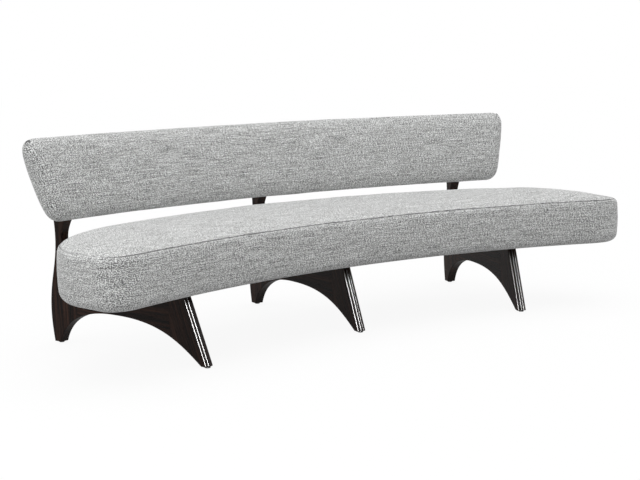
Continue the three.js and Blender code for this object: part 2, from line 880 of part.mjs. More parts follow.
// A bolt whose head sits at the bottom of a counterbore. From is the outer end of the counterbore.
function boltWithHoles(from, direction, sink, length) {
  const at = (distance) => from.clone().addScaledVector(direction, distance);
  const [shank, head] = [bolt.diameter / 2, bolt.headDiameter / 2];
  const profile = [
    [0, 0],
    [head, 0],
    [head, bolt.headHeight],
    [shank, bolt.headHeight],
    [shank, bolt.headHeight + length],
    [0, bolt.headHeight + length],
  ];
  const slack = bolt.clearance;
  const headEnd = sink + bolt.headHeight;
  return {
    pin: turned(profile, at(sink), at(headEnd)),
    hole: bar(at(sink), at(headEnd + length + slack), bolt.diameter + 2 * slack),
    counterbore: bar(at(-bolt.headDiameter), at(headEnd + slack), bolt.headDiameter + 2 * slack),
  };
}

function seatBolt(angle, reach) {
  const bottom = archHeightAt(reach);
  const from = framePoint(angle, reach, bottom);
  const length = railBottom + bolt.seatGrip - bottom - bolt.seatSink - bolt.headHeight;
  return boltWithHoles(from, new THREE.Vector3(0, 0, 1), bolt.seatSink, length);
}

// The rear edge of the post's head, above the throat, as reach at a height
function headRearPoint(angle, up) {
  const outline = frameOutline(angle).getPoints(facets.searchCount);
  const [faceReach, faceHeight] = rearFace(angle, up);
  const run = new THREE.Vector2(Math.cos(lean), -Math.sin(lean));
  let best = 0;
  for (let i = 0; i < outline.length - 1; i++) {
    const [a, b] = [outline[i], outline[i + 1]];
    const side = (p) => (p.x - faceReach) * run.y - (p.y - faceHeight) * run.x;
    if (side(a) * side(b) > 0 || a.y < frame.throatHeight) continue;
    const share = side(a) / (side(a) - side(b));
    const cross = a.clone().lerp(b, share);
    best = Math.max(best, (cross.x - faceReach) * run.x + (cross.y - faceHeight) * run.y);
  }
  return best;
}

function backBolt(angle, up) {
  const [faceReach, faceHeight] = rearFace(angle, up);
  const depth = headRearPoint(angle, up);
  const outer = framePoint(angle, faceReach + depth * Math.cos(lean), faceHeight - depth * Math.sin(lean));
  const inner = framePoint(angle, faceReach, faceHeight);
  const direction = new THREE.Vector3().subVectors(inner, outer).normalize();
  const length = depth - bolt.backSink - bolt.headHeight + spine.rearInset + bolt.backGrip;
  return boltWithHoles(outer, direction, bolt.backSink, length);
}

function footGlide(angle, reach) {
  const [disc, stem] = [glide.diameter / 2, glide.stemDiameter / 2];
  const profile = [
    [0, 0],
    [disc, 0],
    [disc, glide.height],
    [stem, glide.height],
    [stem, glide.height + glide.stemLength],
    [0, glide.height + glide.stemLength],
  ];
  const slack = dowel.clearance;
  return {
    pin: turned(profile, framePoint(angle, reach, 0), framePoint(angle, reach, glide.height)),
    hole: bar(
      framePoint(angle, reach, 0),
      framePoint(angle, reach, glide.height + glide.stemLength + slack),
      glide.stemDiameter + 2 * slack,
    ),
  };
}

// Assembly: one side frame with its dowels, bolts and glides. The holes it needs in the seat and
// in the backrest are handed on.

function sideFrame(side, angle) {
  const blank = frameBlank(angle);
  const legDowels = jointDowels(angle, legJointReach);
  const postDowels = jointDowels(angle, postJointReach);
  const seatBolts = [seatBolt(angle, archReach(boltFrontShare)), seatBolt(angle, archReach(boltRearShare))];
  const backBolts = [backBolt(angle, backBoltLow), backBolt(angle, backBoltHigh)];
  const frontGlide = footGlide(angle, frontFace(0) + (frame.toeDepth - nose.depth) / 2);
  const rearGlide = footGlide(angle, heelReach + frame.heelDepth / 2);

  const near = toeReach - seat.depth;
  const leg = common(blank, stretch(angle, near, legJointReach - gap / 2));
  const rail = common(blank, stretch(angle, legJointReach + gap / 2, postJointReach - gap / 2));
  const post = cut(blank, [stretch(angle, near, postJointReach + gap / 2)]);

  const holes = (list) => list.flatMap((one) => (one.counterbore ? [one.hole, one.counterbore] : [one.hole]));
  addPiece(`${side}_front_leg`, cut(leg, holes([...legDowels, frontGlide])), 'darkWood');
  addPiece(`${side}_cross_rail`, cut(rail, holes([...legDowels, ...postDowels, ...seatBolts])), 'darkWood');
  addPiece(`${side}_rear_post`, cut(post, holes([...postDowels, ...backBolts, rearGlide])), 'darkWood');

  addPiece(`${side}_leg_dowel_low`, legDowels[0].pin, 'boxWood');
  addPiece(`${side}_leg_dowel_high`, legDowels[1].pin, 'boxWood');
  addPiece(`${side}_post_dowel_low`, postDowels[0].pin, 'boxWood');
  addPiece(`${side}_post_dowel_high`, postDowels[1].pin, 'boxWood');
  addPiece(`${side}_seat_bolt_front`, seatBolts[0].pin, 'steel');
  addPiece(`${side}_seat_bolt_rear`, seatBolts[1].pin, 'steel');
  addPiece(`${side}_back_bolt_low`, backBolts[0].pin, 'steel');
  addPiece(`${side}_back_bolt_high`, backBolts[1].pin, 'steel');
  addPiece(`${side}_front_glide`, frontGlide.pin, 'plastic');
  addPiece(`${side}_rear_glide`, rearGlide.pin, 'plastic');

  return { seatHoles: seatBolts.map((b) => b.hole), backHoles: backBolts.map((b) => b.hole) };
}

const sides = { left: -fan, middle: 0, right: fan };
const seatHoles = [];
const backHoles = [];
for (const [side, angle] of Object.entries(sides)) {
  const made = sideFrame(side, angle);
  seatHoles.push(...made.seatHoles);
  backHoles.push(...made.backHoles);
  addPiece(`${side}_cross_member`, cut(crossMember(angle), made.seatHoles), 'boxWood');
}

const frontEnd = facets.seatEdgeCount;
const rightEnd = frontEnd + facets.frontCornerCount + facets.seatEndCount;
const rearEnd = rightEnd + facets.backCornerCount + facets.seatEdgeCount + facets.backCornerCount;
const leftEnd = rearEnd + facets.seatEndCount + facets.frontCornerCount;
addPiece('seat_front_rail', rail(0, frontEnd), 'boxWood');
addPiece('seat_right_end_rail', rail(frontEnd, rightEnd), 'boxWood');
addPiece('seat_rear_rail', rail(rightEnd, rearEnd), 'boxWood');
addPiece('seat_left_end_rail', rail(rearEnd, leftEnd), 'boxWood');
addPiece('seat_deck', seatSlab(box.railInset, deckBottom, deckTop), 'boxWood');
addPiece('seat_foam', seatFoam(), 'foam');
addPiece('seat_border_foam', borderFoam(), 'foam');
addPiece('seat_border_cover', seatBorderCover(), 'fabric');
addPiece('seat_top_cover', seatTopCover(), 'fabric');

const dustInset = returnInset - cover.dustLap;
const dustSheet = seatSlab(dustInset, seat.underside - gap - cover.dustThickness, seat.underside - gap);
addPiece('seat_dust_cover', cut(dustSheet, seatHoles), 'dustCloth');

addPiece('back_spine', cut(spineBody(0), backHoles), 'boxWood');
addPiece('back_foam', cut(backFoam(), [spineBody(gap), ...backHoles]), 'foam');
addPiece('back_front_cover', frontBackCover(), 'fabric');
addPiece('back_rear_cover', cut(rearBackCover(), backHoles), 'fabric');

// The origin goes to the floor under the middle of the bounding box
const bounds = new THREE.Box3().setFromObject(sofa);
sofa.position.set(0, -(bounds.min.y + bounds.max.y) / 2, 0);

export default sofa;
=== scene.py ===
# %% [markdown]
# # A curved sofa on fanned side frames
# The real sofa is a crescent seat and a curved, leaning backrest, both covered in a light grey
# slubby weave. Three frames of near-black lacquered wood carry them, fanned out like the ribs of
# a shell. This lesson rebuilds what the eye sees over a plain, exactly sized frame. The frame
# comes from the part's own solids, so the first step is to load it.

import json
import math

import bmesh
import bpy
import numpy as np
from mathutils import Matrix, Vector


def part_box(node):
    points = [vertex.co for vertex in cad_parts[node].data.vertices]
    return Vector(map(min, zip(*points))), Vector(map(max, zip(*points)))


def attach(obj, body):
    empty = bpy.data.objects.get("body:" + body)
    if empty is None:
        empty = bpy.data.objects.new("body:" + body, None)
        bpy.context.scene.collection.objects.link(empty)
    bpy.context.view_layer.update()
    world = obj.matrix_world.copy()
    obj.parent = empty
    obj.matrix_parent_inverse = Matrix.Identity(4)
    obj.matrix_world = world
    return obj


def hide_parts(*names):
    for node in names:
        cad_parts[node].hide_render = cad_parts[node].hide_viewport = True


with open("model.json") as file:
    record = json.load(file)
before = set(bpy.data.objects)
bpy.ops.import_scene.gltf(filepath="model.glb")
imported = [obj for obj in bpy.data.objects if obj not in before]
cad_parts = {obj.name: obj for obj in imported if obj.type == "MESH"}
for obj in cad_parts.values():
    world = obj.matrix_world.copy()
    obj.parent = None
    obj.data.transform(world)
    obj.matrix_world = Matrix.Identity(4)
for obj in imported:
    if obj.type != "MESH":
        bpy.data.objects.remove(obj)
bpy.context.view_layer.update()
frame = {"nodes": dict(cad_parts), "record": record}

# %% [markdown]
# ## One set of measures
# Every curve of this sofa is drawn about one point in front of it, the fan point, at which all
# three frames aim. A distance from that point is called a reach. The middle front glide is a
# known reach away, so its box tells where the fan point lies in the frame's own axes.

# %% Measures of the seat, in metres
SEAT_FRONT = 2.273
SEAT_DEPTH = 0.618
SEAT_FRONT_RADIUS = 2.833
SEAT_BACK_RADIUS = 2.001
SEAT_HALF = 1.080
SEAT_FRONT_SHARE = 1.0444
SEAT_BACK_SHARE = 1.1852
SEAT_FRONT_CORNER = 0.117
SEAT_BACK_CORNER = 0.361
SEAT_UNDERSIDE = 0.2475
SEAT_TOP = 0.4465
LOWER_EDGE = 0.036
UPPER_EDGE = 0.025
CROWN_REACH = 0.257
CROWN_RISE = 0.0265
SIDE_SWELL = 0.0024
SEAM_TURN = math.radians(63)

# %% Measures of the padding and its seams
PADDING_STARTS = 0.05
SEAM_DEPTH = 0.0023
SEAM_WIDTH = 0.0031
SEAM_LIFT = 0.0012
END_LOOSENESS = 0.88
END_LENGTH = 0.07
START_SMALLER = 0.0009
UNEVENNESS = 0.0024
DEEPEST_DIP = 0.0004
CLOTH_STEP = 0.009
CLOTH_STEP_UP = 0.011
EVEN_FROM, EVEN_SPAN = 0.7, 0.25

# %% Measures of the backrest
BACK_REACH = SEAT_FRONT + SEAT_DEPTH - 0.004
BACK_RADIUS = 3.504
BACK_MIDDLE = 0.5935
BACK_HEIGHT = 0.288
BACK_THICKNESS = 0.102
BACK_HALF = 0.98 * SEAT_HALF
BACK_LEAN = math.radians(13.4)
BACK_FLARE = 0.2
BACK_ROUNDNESS = 2.38
END_ROUNDING = 0.053
LOWER_CORNER = 0.049
UPPER_CORNER = 0.056
REAR_SEAM_TURN = math.radians(38)
REAR_PANEL_INSET = 0.047
REAR_PANEL_CORNER = 0.04
SPINE_TURN = math.radians(15)
CAP_SHARE = 0.3
GATHER_INSET = 0.0205
GATHER_TURN = math.radians(-12)
KNOB_HEIGHT, KNOB_WIDTH = 0.002, 0.0048
PLEAT_HEIGHT, PLEAT_WIDTH = 0.003, 0.0036
PLEAT_RADIUS = 0.0084
PLEAT_TURN = math.radians(50)
# PLEAT_SHADE sets how dark the painted shade on the corner pleats is
PLEAT_SHADE = 1.9

# %% Measures of the side frames
BOARD = 0.036
EDGE_ROUNDING = 0.003
GAP = 0.0003
TOE = SEAT_FRONT + 0.051
RAKE = 0.4
TOE_DEPTH = 0.020
HEEL = BACK_REACH + 0.1275
HEEL_DEPTH = 0.030
CROWN = TOE + 0.584 * (HEEL - TOE)
CROWN_HEIGHT = 0.1315
LEG_JOINT = TOE + 0.223 * (HEEL - TOE)
POST_JOINT = TOE + 0.866 * (HEEL - TOE)
RISE = TOE + 0.884 * (HEEL - TOE)
WAIST, WAIST_HEIGHT = BACK_REACH + 0.101, 0.378
THROAT, THROAT_HEIGHT = BACK_REACH + 0.078, 0.440
SHOULDER = BACK_REACH + 0.136
HEAD_RISE = 0.0465
TIP_DEPTH = 0.026
NAPE_BOW = 0.012
THROAT_LEAN = 0.6
FRAME_TOP = SEAT_UNDERSIDE - 0.0014
FOOT = 0.0048
NOSE_DEPTH = 0.008
NOSE_OVER = 0.0015
REED_RADIUS = 0.0066
REED_STEP = 0.0110
REED_BACK = 0.0030
FAN = math.asin(0.713 * SEAT_HALF / (SEAT_FRONT + SEAT_DEPTH / 2))
SIDES = {"left": -FAN, "middle": 0.0, "right": FAN}
BORE_RADIUS = 0.0083
BOLT_HEAD = 0.0055

glide_low, glide_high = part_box("middle_front_glide")
glide_reach = TOE + (TOE_DEPTH - NOSE_DEPTH) / 2
FAN_POINT = np.array([0.0, (glide_low.y + glide_high.y) / 2 - glide_reach, 0.0])
print("fan point", FAN_POINT.round(5), "fan angle", round(math.degrees(FAN), 3))

# %% [markdown]
# ## From numbers to a mesh
# A shape made as a function of two parameters comes out as a grid of points. One helper turns
# such a grid into faces. It joins the last column to the first, because every grid here closes
# round itself, and it carries a map of the cloth: one pair of lengths, in metres, for each corner
# of each face, so that a weave follows the surface.

# %% Grid to mesh
def shade_smooth(mesh):
    """Light is spread over the faces of a mesh as over a curved surface."""
    mesh.polygons.foreach_set("use_smooth", np.ones(len(mesh.polygons), bool))
    mesh.update()


def new_object(name, mesh):
    """A mesh stands in the scene, at the origin."""
    made = bpy.data.objects.new(name, mesh)
    bpy.context.scene.collection.objects.link(made)
    return made


def quads_round(rows, columns):
    """Row and column of the four corners of every quad. The column runs on past the last one,
    and is taken modulo columns where it names a point, because the grid closes round itself."""
    row, column = np.meshgrid(np.arange(rows - 1), np.arange(columns), indexing="ij")
    corner_row = np.stack([row, row, row + 1, row + 1], -1).reshape(-1, 4)
    corner_column = np.stack([column, column + 1, column + 1, column], -1).reshape(-1, 4)
    return corner_row, corner_column, corner_row * columns + corner_column % columns


def grid_piece(name, points, cloth_map):
    """Rows of points joined by quads. cloth_map has one more column than points, so the map is
    unrolled and doesn't jump back."""
    row, column, faces = quads_round(*points.shape[:2])
    mesh = bpy.data.meshes.new(name)
    mesh.from_pydata(points.reshape(-1, 3), [], faces)
    cloth = mesh.uv_layers.new(name="cloth")
    cloth.uv.foreach_set("vector", cloth_map[row, column].astype(np.float32).ravel())
    return new_object(name, mesh)


def points_of(mesh):
    """The points of a mesh, one row each."""
    points = np.empty(3 * len(mesh.vertices))
    mesh.vertices.foreach_get("co", points)
    return points.reshape(-1, 3)


def store(piece, name, values):
    """One number for each point, kept as an attribute that a finish can read."""
    layer = piece.data.attributes.new(name, "FLOAT", "POINT")
    layer.data.foreach_set("value", np.ravel(values).astype(np.float32))


def close_and_turn_out(piece, distance=1e-5):
    """Points that lie on each other are merged, and the faces are turned outwards."""
    work = bmesh.new()
    work.from_mesh(piece.data)
    bmesh.ops.remove_doubles(work, verts=work.verts, dist=distance)
    bmesh.ops.dissolve_degenerate(work, edges=work.edges, dist=distance / 10)
    bmesh.ops.recalc_face_normals(work, faces=work.faces)
    open_edges = sum(1 for edge in work.edges if not edge.is_manifold)
    work.to_mesh(piece.data)
    work.free()
    shade_smooth(piece.data)
    print(piece.name, len(piece.data.polygons), "faces,", open_edges, "open edges")


# %% [markdown]
# ## Padding under pressure
# Foam pushes its cover outwards, and the cover is held back where it is sewn or stapled. That is
# a cloth simulation: a copy of the skin, pinned at its seams and under a light pressure from
# inside, runs for twenty frames. It needs a closed shell of even triangles, coarser than the skin
# that is seen, so rows and columns of the skin's own grid are picked at even distances.

# %% Cloth shell
def shell_of(points):
    """The grid as a closed shell of triangles. Equal points become one, and triangles that lost
    a side are left out. Also returns each grid point's place among the shell's points."""
    flat = points.reshape(-1, 3)
    _, first, place = np.unique(np.round(flat, 5), axis=0, return_index=True, return_inverse=True)
    place = place.reshape(-1)
    quads = place[quads_round(*points.shape[:2])[2]]
    triangles = np.concatenate([quads[:, [0, 1, 2]], quads[:, [0, 2, 3]]])
    a, b, c = triangles.T
    triangles = triangles[(a != b) & (b != c) & (c != a)]
    start = flat[first]
    a, b, c = start[triangles].transpose(1, 0, 2)
    if np.einsum("ij,ij->", a, np.cross(b, c)) < 0:
        triangles = triangles[:, ::-1]
    return start, triangles, place


def spread(field, index, count, closed=False):
    """Values known at some rows of a grid, carried to every row between them in straight lines."""
    if closed:
        index = np.append(index, count)
        field = np.concatenate([field, field[:1]])
    where = np.interp(np.arange(count), index, np.arange(len(index)))
    low = np.minimum(where.astype(int), len(index) - 2)
    share = (where - low)[:, None]
    return field[low] * (1 - share) + field[low + 1] * share


def spaced(points, least, *needed):
    """Numbers of the rows that stand at least so far apart on average, the needed ones added."""
    step = np.linalg.norm(np.diff(points, axis=0), axis=-1).mean(1)
    place = np.concatenate([[0], np.cumsum(step)])
    kept = np.searchsorted(place, np.arange(0, place[-1], least))
    return np.unique(np.concatenate([kept, [len(place) - 1], *needed]))


# %% [markdown]
# Foam has little to give, so the way each point went is capped, and where the cloth was drawn
# inwards the foam stops it. Only this movement is kept, and it is spread over the finer grid of
# the visible skin, whose seams and cloth map so stay as they are.

# %% Movement of the cloth
def puff(points, outwards, rows, columns, sewn, pressure=4.0, limit=0.0026, frames=20):
    """How far every grid point goes out when the skin's cloth is put under pressure."""
    coarse = points[np.ix_(rows, columns)]
    start, triangles, place = shell_of(coarse)
    mesh = bpy.data.meshes.new("cloth shell")
    mesh.from_pydata(start, [], triangles.tolist())
    shell = new_object("cloth_shell", mesh)
    pins = shell.vertex_groups.new(name="sewn")
    held = np.unique(place[sewn[np.ix_(rows, columns)].ravel()])
    pins.add(held.tolist(), 1.0, "REPLACE")
    cloth = shell.modifiers.new("cloth", "CLOTH").settings
    cloth.use_pressure = True
    cloth.uniform_pressure_force = pressure
    cloth.effector_weights.gravity = 0
    cloth.vertex_group_mass = "sewn"
    scene = bpy.context.scene
    for number in range(1, frames + 1):
        scene.frame_set(number)
    settled = shell.evaluated_get(bpy.context.evaluated_depsgraph_get()).data
    move = points_of(settled) - start
    bpy.data.objects.remove(shell)
    scene.frame_set(1)
    out = np.einsum("rci,rci->rc", move[place].reshape(coarse.shape), outwards[np.ix_(rows, columns)])
    most_out, most_in = (round(1000 * float(value), 1) for value in (out.max(), -out.min()))
    print("cloth of", len(start), "points:", most_out, "mm out,", most_in, "mm in")
    out = np.where(out > 0, limit * np.tanh(out / limit), 0)
    for _ in range(2):
        out = (np.roll(out, 1, 1) + np.roll(out, -1, 1) + 2 * out) / 4
        out[1:-1] = (out[:-2] + out[2:] + 2 * out[1:-1]) / 4
    out = spread(out, rows, points.shape[0])
    return spread(out.T, columns, points.shape[1], closed=True).T


def grid_normals(points):
    """Across the rows times along the columns, at each point of a grid that closes round."""
    down = np.gradient(points, axis=0)
    round_it = np.roll(points, -1, 1) - np.roll(points, 1, 1)
    normal = np.cross(round_it, down)
    return normal / np.maximum(np.linalg.norm(normal, axis=-1, keepdims=True), 1e-12)


# %% [markdown]
# No padding laid by hand is quite even. A few long, low waves in different directions, added to
# each other, make that unevenness without any of them being seen alone.

# %% Unevenness
def hand_of_upholsterer(points, seed, count=12):
    """A low unevenness: the mean of sine waves in space, 90 to 300 mm long, with hardly a dip."""
    random = np.random.default_rng(seed)
    waves = random.normal(size=(count, 3))
    turns = 2 * np.pi / random.uniform(0.09, 0.3, (count, 1))
    waves *= turns / np.linalg.norm(waves, axis=1, keepdims=True)
    start = random.uniform(0, 2 * np.pi, count)
    return np.maximum(UNEVENNESS * np.sin(points @ waves.T + start).mean(-1), -DEEPEST_DIP)


# %% [markdown]
# ## The seat
# The seat is a wooden box under thick foam, covered with a top panel that is sewn to a border
# all round. Its plan is a rounded rectangle, ruled between a front arc and a back arc. Its
# section turns under at the bottom, stands nearly straight at the side, rounds over at the top
# and rises in a slow crown. A plan and a section are all that is needed: rings of the plan, each
# set in by the section's own amount.

# %% Plan of the seat
def segment(start, end, count):
    share = np.arange(count) / count
    return start + (end - start) * share


def seat_plan(inset, near_radius, far_radius, counts=(190, 24, 14, 46)):
    """A rectangle with round corners, set in by inset: along its near edge, up one end, back
    along the far edge and down the other end. The counts are points on the long edges, near
    corners, ends and far corners. Returns distance across and distance behind the front edge,
    one row for each inset."""
    edge, near, end, far = counts
    inset, near_radius, far_radius = (np.asarray(v)[:, None] for v in (inset, near_radius, far_radius))
    half = SEAT_HALF - inset
    front, back = inset, SEAT_DEPTH - inset
    turn_near = segment(-np.pi / 2, 0.0, near)
    turn_far = segment(0.0, np.pi / 2, far)
    across = [
        segment(-(half - near_radius), half - near_radius, edge),
        half - near_radius + near_radius * np.cos(turn_near),
        half * np.ones(end),
        half - far_radius + far_radius * np.cos(turn_far),
        segment(half - far_radius, -(half - far_radius), edge),
        -(half - far_radius) + far_radius * np.cos(turn_far + np.pi / 2),
        -half * np.ones(end),
        -(half - near_radius) + near_radius * np.cos(turn_near - np.pi / 2),
    ]
    behind = [
        front * np.ones(edge),
        front + near_radius + near_radius * np.sin(turn_near),
        segment(front + near_radius, back - far_radius, end),
        back - far_radius + far_radius * np.sin(turn_far),
        back * np.ones(edge),
        back - far_radius + far_radius * np.sin(turn_far + np.pi / 2),
        segment(back - far_radius, front + near_radius, end),
        front + near_radius + near_radius * np.sin(turn_near - np.pi / 2),
    ]
    return np.concatenate(across, 1), np.concatenate(behind, 1)


def arc(radius, apex, along):
    """A point on an arc whose middle lies straight behind the fan point, at a distance along it."""
    turn = along / radius
    return np.stack([radius * np.sin(turn), apex - radius + radius * np.cos(turn)], -1)


def seat_points(across, behind, height):
    """The plan is ruled: the point on the front arc and the point on the back arc at the same
    share of the length are joined by a straight line, and behind runs along it."""
    front = arc(SEAT_FRONT_RADIUS, SEAT_FRONT, across * SEAT_FRONT_SHARE)
    back = arc(SEAT_BACK_RADIUS, SEAT_FRONT + SEAT_DEPTH, across * SEAT_BACK_SHARE)
    place = front + (back - front) * (behind / SEAT_DEPTH)[..., None]
    return np.concatenate([place, height[..., None]], -1) + FAN_POINT


# %% [markdown]
# The corner radius of an inset ring would shrink to nothing on the way in, and leave a crease
# like a hipped roof. So each ring's corners grow rounder again towards the middle, where the
# rings close on a line.

# %% Section of the seat
def smooth_step(value):
    """0 up to 0 and 1 from 1 on, with a soft start and end between them."""
    value = np.clip(value, 0, 1)
    return value * value * (3 - 2 * value)


def corner_radius(corner, inset):
    """Corner less inset near the edge, blending into the largest radius that fits inside."""
    share = smooth_step((inset - UPPER_EDGE) / (SEAT_DEPTH / 2 - UPPER_EDGE))
    return np.maximum(corner - inset, 0) * (1 - share) + (SEAT_DEPTH / 2 - inset) * share


def seat_rings(inset, **counts):
    """The plan at each inset, with the seat's own corners."""
    near, far = (corner_radius(corner, inset) for corner in (SEAT_FRONT_CORNER, SEAT_BACK_CORNER))
    return seat_plan(inset, near, far, **counts)


def seat_section(rings=(14, 10, 16, 27, 30), spacing=1.2):
    """Inset and height of each ring, from the middle of the underside to the middle of the top:
    flat, a quarter circle, a side that swells by SIDE_SWELL, the upper circle, and a crown that
    rises as 1 - (1 - share) squared. Each part has its number of rings, and the crown's are a
    little closer together at its start."""
    slope = 2 * CROWN_RISE / (CROWN_REACH - UPPER_EDGE)
    top_turn = math.pi / 2 - math.atan(slope)
    centre = SEAT_TOP - CROWN_RISE - UPPER_EDGE * math.sin(top_turn)
    under = np.linspace(SEAT_DEPTH / 2, LOWER_EDGE, rings[0])[:-1]
    turn = np.linspace(0, np.pi / 2, rings[1])
    side = np.linspace(0, 1, rings[2])[1:-1]
    low = SEAT_UNDERSIDE + LOWER_EDGE
    upper = np.linspace(0, top_turn, rings[3])
    rise = np.linspace(0, 1, rings[4])[1:] ** spacing
    start = UPPER_EDGE * (1 - math.cos(top_turn))
    level = centre + UPPER_EDGE * math.sin(top_turn)
    crown_inset = start + (SEAT_DEPTH / 2 - start) * rise
    crown_share = np.clip((crown_inset - start) / (CROWN_REACH - start), 0, 1)
    inset = np.concatenate([
        under,
        LOWER_EDGE * (1 - np.sin(turn)),
        -SIDE_SWELL * 4 * side * (1 - side),
        UPPER_EDGE * (1 - np.cos(upper)),
        crown_inset,
    ])
    height = np.concatenate([
        np.full(len(under), SEAT_UNDERSIDE),
        SEAT_UNDERSIDE + LOWER_EDGE * (1 - np.cos(turn)),
        low + (centre - low) * side,
        centre + UPPER_EDGE * np.sin(upper),
        level + (SEAT_TOP - level) * (1 - (1 - crown_share) ** 2),
    ])
    seam = len(under) + len(turn) + len(side) + int(round(SEAM_TURN / top_turn * (len(upper) - 1)))
    return inset, height, seam


# %% [markdown]
# The top panel is sewn to the border just over the edge, and the seam draws the padding in. It
# is a groove along one ring, deeper and shallower by turns because stitches pull the cloth in
# small steps. Where it turns the ends it is less tight. The same pull also darkens the cloth along
# the groove as a painted shade.

# %% Swell and seam of the seat
def seat_swell(points, outwards, inset, height, seam):
    """The swell of a cover held under the seat and at its seam. Towards the middle it becomes the
    same all round, because the rings meet there."""
    held = (height < SEAT_UNDERSIDE + LOWER_EDGE / 2) | (np.arange(len(points)) == seam)
    sewn = np.broadcast_to(held[:, None], points.shape[:2])
    rows = spaced(points, CLOTH_STEP_UP, [seam])
    columns = spaced(points[seam // 2 :].transpose(1, 0, 2), CLOTH_STEP)
    swell = puff(points, outwards, rows, columns, sewn)
    middle = smooth_step((inset / (SEAT_DEPTH / 2) - EVEN_FROM) / EVEN_SPAN)[:, None]
    return swell * (1 - middle) + swell.mean(1, keepdims=True) * middle


def stitch_waves(around, *waves):
    """1 plus a sine wave for each triple of size, length and start."""
    return 1 + sum(size * np.sin(around * 2 * np.pi / length + start) for size, length, start in waves)


def bell(distance, width):
    """1 at no distance, falling to 0 at about two widths."""
    return np.exp(-((distance / width) ** 2))


# %% Skin of the seat
def seat_piece():
    inset, height, seam = seat_section()
    across, behind = seat_rings(inset)
    points = seat_points(across, behind, np.broadcast_to(height[:, None], across.shape))
    outwards = grid_normals(points)
    if outwards[len(points) * 3 // 4, 0, 2] < 0:
        outwards = -outwards
    rising = np.concatenate([[0], np.cumsum(np.hypot(np.diff(inset), np.diff(height)))])
    swell = seat_swell(points, outwards, inset, height, seam)
    points = points + outwards * (swell - START_SMALLER)[..., None]
    padded_part = smooth_step((height - SEAT_UNDERSIDE) / PADDING_STARTS)[:, None]
    uneven = hand_of_upholsterer(points, 4) * padded_part
    beside = bell(rising - rising[seam], 4 * SEAM_WIDTH)[:, None]
    points = points + outwards * (uneven + SEAM_LIFT * beside)[..., None]
    at_end = smooth_step((np.abs(across[seam]) - SEAT_HALF + END_LENGTH) / END_LENGTH)
    edge_ring = points[seam]
    around = np.linalg.norm(np.roll(edge_ring, -1, 0) - edge_ring, axis=1).cumsum()
    stitches = stitch_waves(around, (0.14, 0.031, 0), (0.1, 0.047, 1))
    seam_pull_and_shade = bell(rising - rising[seam], SEAM_WIDTH)[:, None] * ((1 - END_LOOSENESS * at_end) * stitches)
    points = points - outwards * (SEAM_DEPTH * seam_pull_and_shade)[..., None]
    around = np.concatenate([[0], around])
    border = np.stack(np.broadcast_arrays(around[None, :], rising[:, None]), -1)
    plan = np.concatenate([points, points[:, :1]], 1)[..., :2]
    cloth_map = np.where((np.arange(len(inset)) >= seam)[:, None, None], plan, border)
    # the row just over the seam is mapped as the top panel, so the seam's own row is doubled
    points = np.insert(points, seam, points[seam], 0)
    cloth_map = np.insert(cloth_map, seam, border[seam], 0)
    piece = grid_piece("seat_cushion", points, cloth_map)
    # painted shade: the seam's pull is stored as the seam attribute, which darkens the cloth in the groove
    store(piece, "seam", np.insert(seam_pull_and_shade, seam, seam_pull_and_shade[seam], 0))
    return piece


seat = seat_piece()
close_and_turn_out(seat)

# %% [markdown]
# ## The backrest
# The backrest is a long pillow on a curved plywood spine. Its section is a superellipse, fuller
# than an ellipse, and its ends and corners are round. It leans back and is longer at its top
# than at its bottom. Again one formula with two parameters gives the whole skin: a distance
# along the arc, and a turn round the section.

# %% Skin of the backrest
def back_points(along, up, out):
    """Along the arc, up the lean and out to the rear; along is stretched with height, which
    flares the ends."""
    radius = BACK_RADIUS + up * math.sin(BACK_LEAN) + out * math.cos(BACK_LEAN)
    turn = along * (1 + BACK_FLARE * up / BACK_HALF) / BACK_RADIUS
    return np.stack([
        radius * np.sin(turn),
        BACK_REACH - BACK_RADIUS + radius * np.cos(turn),
        BACK_MIDDLE + up * math.cos(BACK_LEAN) - out * math.sin(BACK_LEAN),
    ], -1) + FAN_POINT


def back_section(along, turn):
    """Up and out on the superellipse, with the quarter circles of the ends and corners taken
    off where along comes near an end. Turn 0 is the top, and a turn to the front is negative."""
    end = BACK_HALF - np.abs(along)
    near_end = 1 - np.clip(1 - end / END_ROUNDING, 0, 1) ** 2
    width = BACK_THICKNESS / 2 * np.sqrt(near_end)
    above, below = (
        BACK_HEIGHT / 2 - corner * (1 - np.sqrt(1 - np.clip(1 - end / corner, 0, 1) ** 2))
        for corner in (UPPER_CORNER, LOWER_CORNER)
    )
    power = 2 / BACK_ROUNDNESS
    high = np.sign(np.cos(turn)) * np.abs(np.cos(turn)) ** power
    wide = np.sign(np.sin(turn)) * np.abs(np.sin(turn)) ** power
    return (above - below) / 2 + (above + below) / 2 * high, width * wide


# %% [markdown]
# The cover's front panel goes over the top and under the bottom, and a rear panel closes it. The
# seam between them is a rounded rectangle on the rear face, and its groove is a distance to that
# rectangle. At each upper corner the cloth is gathered to a point: a small knob, with a crescent
# pleat round its upper and inner side. The grid is finer there, so that the pleat has enough
# points. The seam groove and the pleat also get a painted shade in the cloth's colour.

# %% Seam and gathers of the backrest
def rounded_distance(x, y, half_x, half_y, radius):
    """Distance to the outline of a rectangle with round corners, as length of the part outside."""
    over_x, over_y = np.abs(x) - (half_x - radius), np.abs(y) - (half_y - radius)
    outside = np.hypot(np.maximum(over_x, 0), np.maximum(over_y, 0))
    return np.abs(outside + np.minimum(np.maximum(over_x, over_y), 0) - radius)


def corner_gather(aside, down):
    """A small knob of cloth under a crescent pleat: a bell of height on the point, and a ring of
    height round it that fades below and towards the end. Returns the push outwards and how much
    of it is pleat."""
    distance = np.hypot(aside, down)
    reach = down * math.cos(PLEAT_TURN) + aside * math.sin(PLEAT_TURN)
    kept_side = smooth_step(0.3 - 0.95 * reach / np.maximum(distance, 1e-6))
    pleat = bell(distance - PLEAT_RADIUS, PLEAT_WIDTH) * kept_side
    return KNOB_HEIGHT * bell(distance, KNOB_WIDTH) + PLEAT_HEIGHT * pleat, pleat


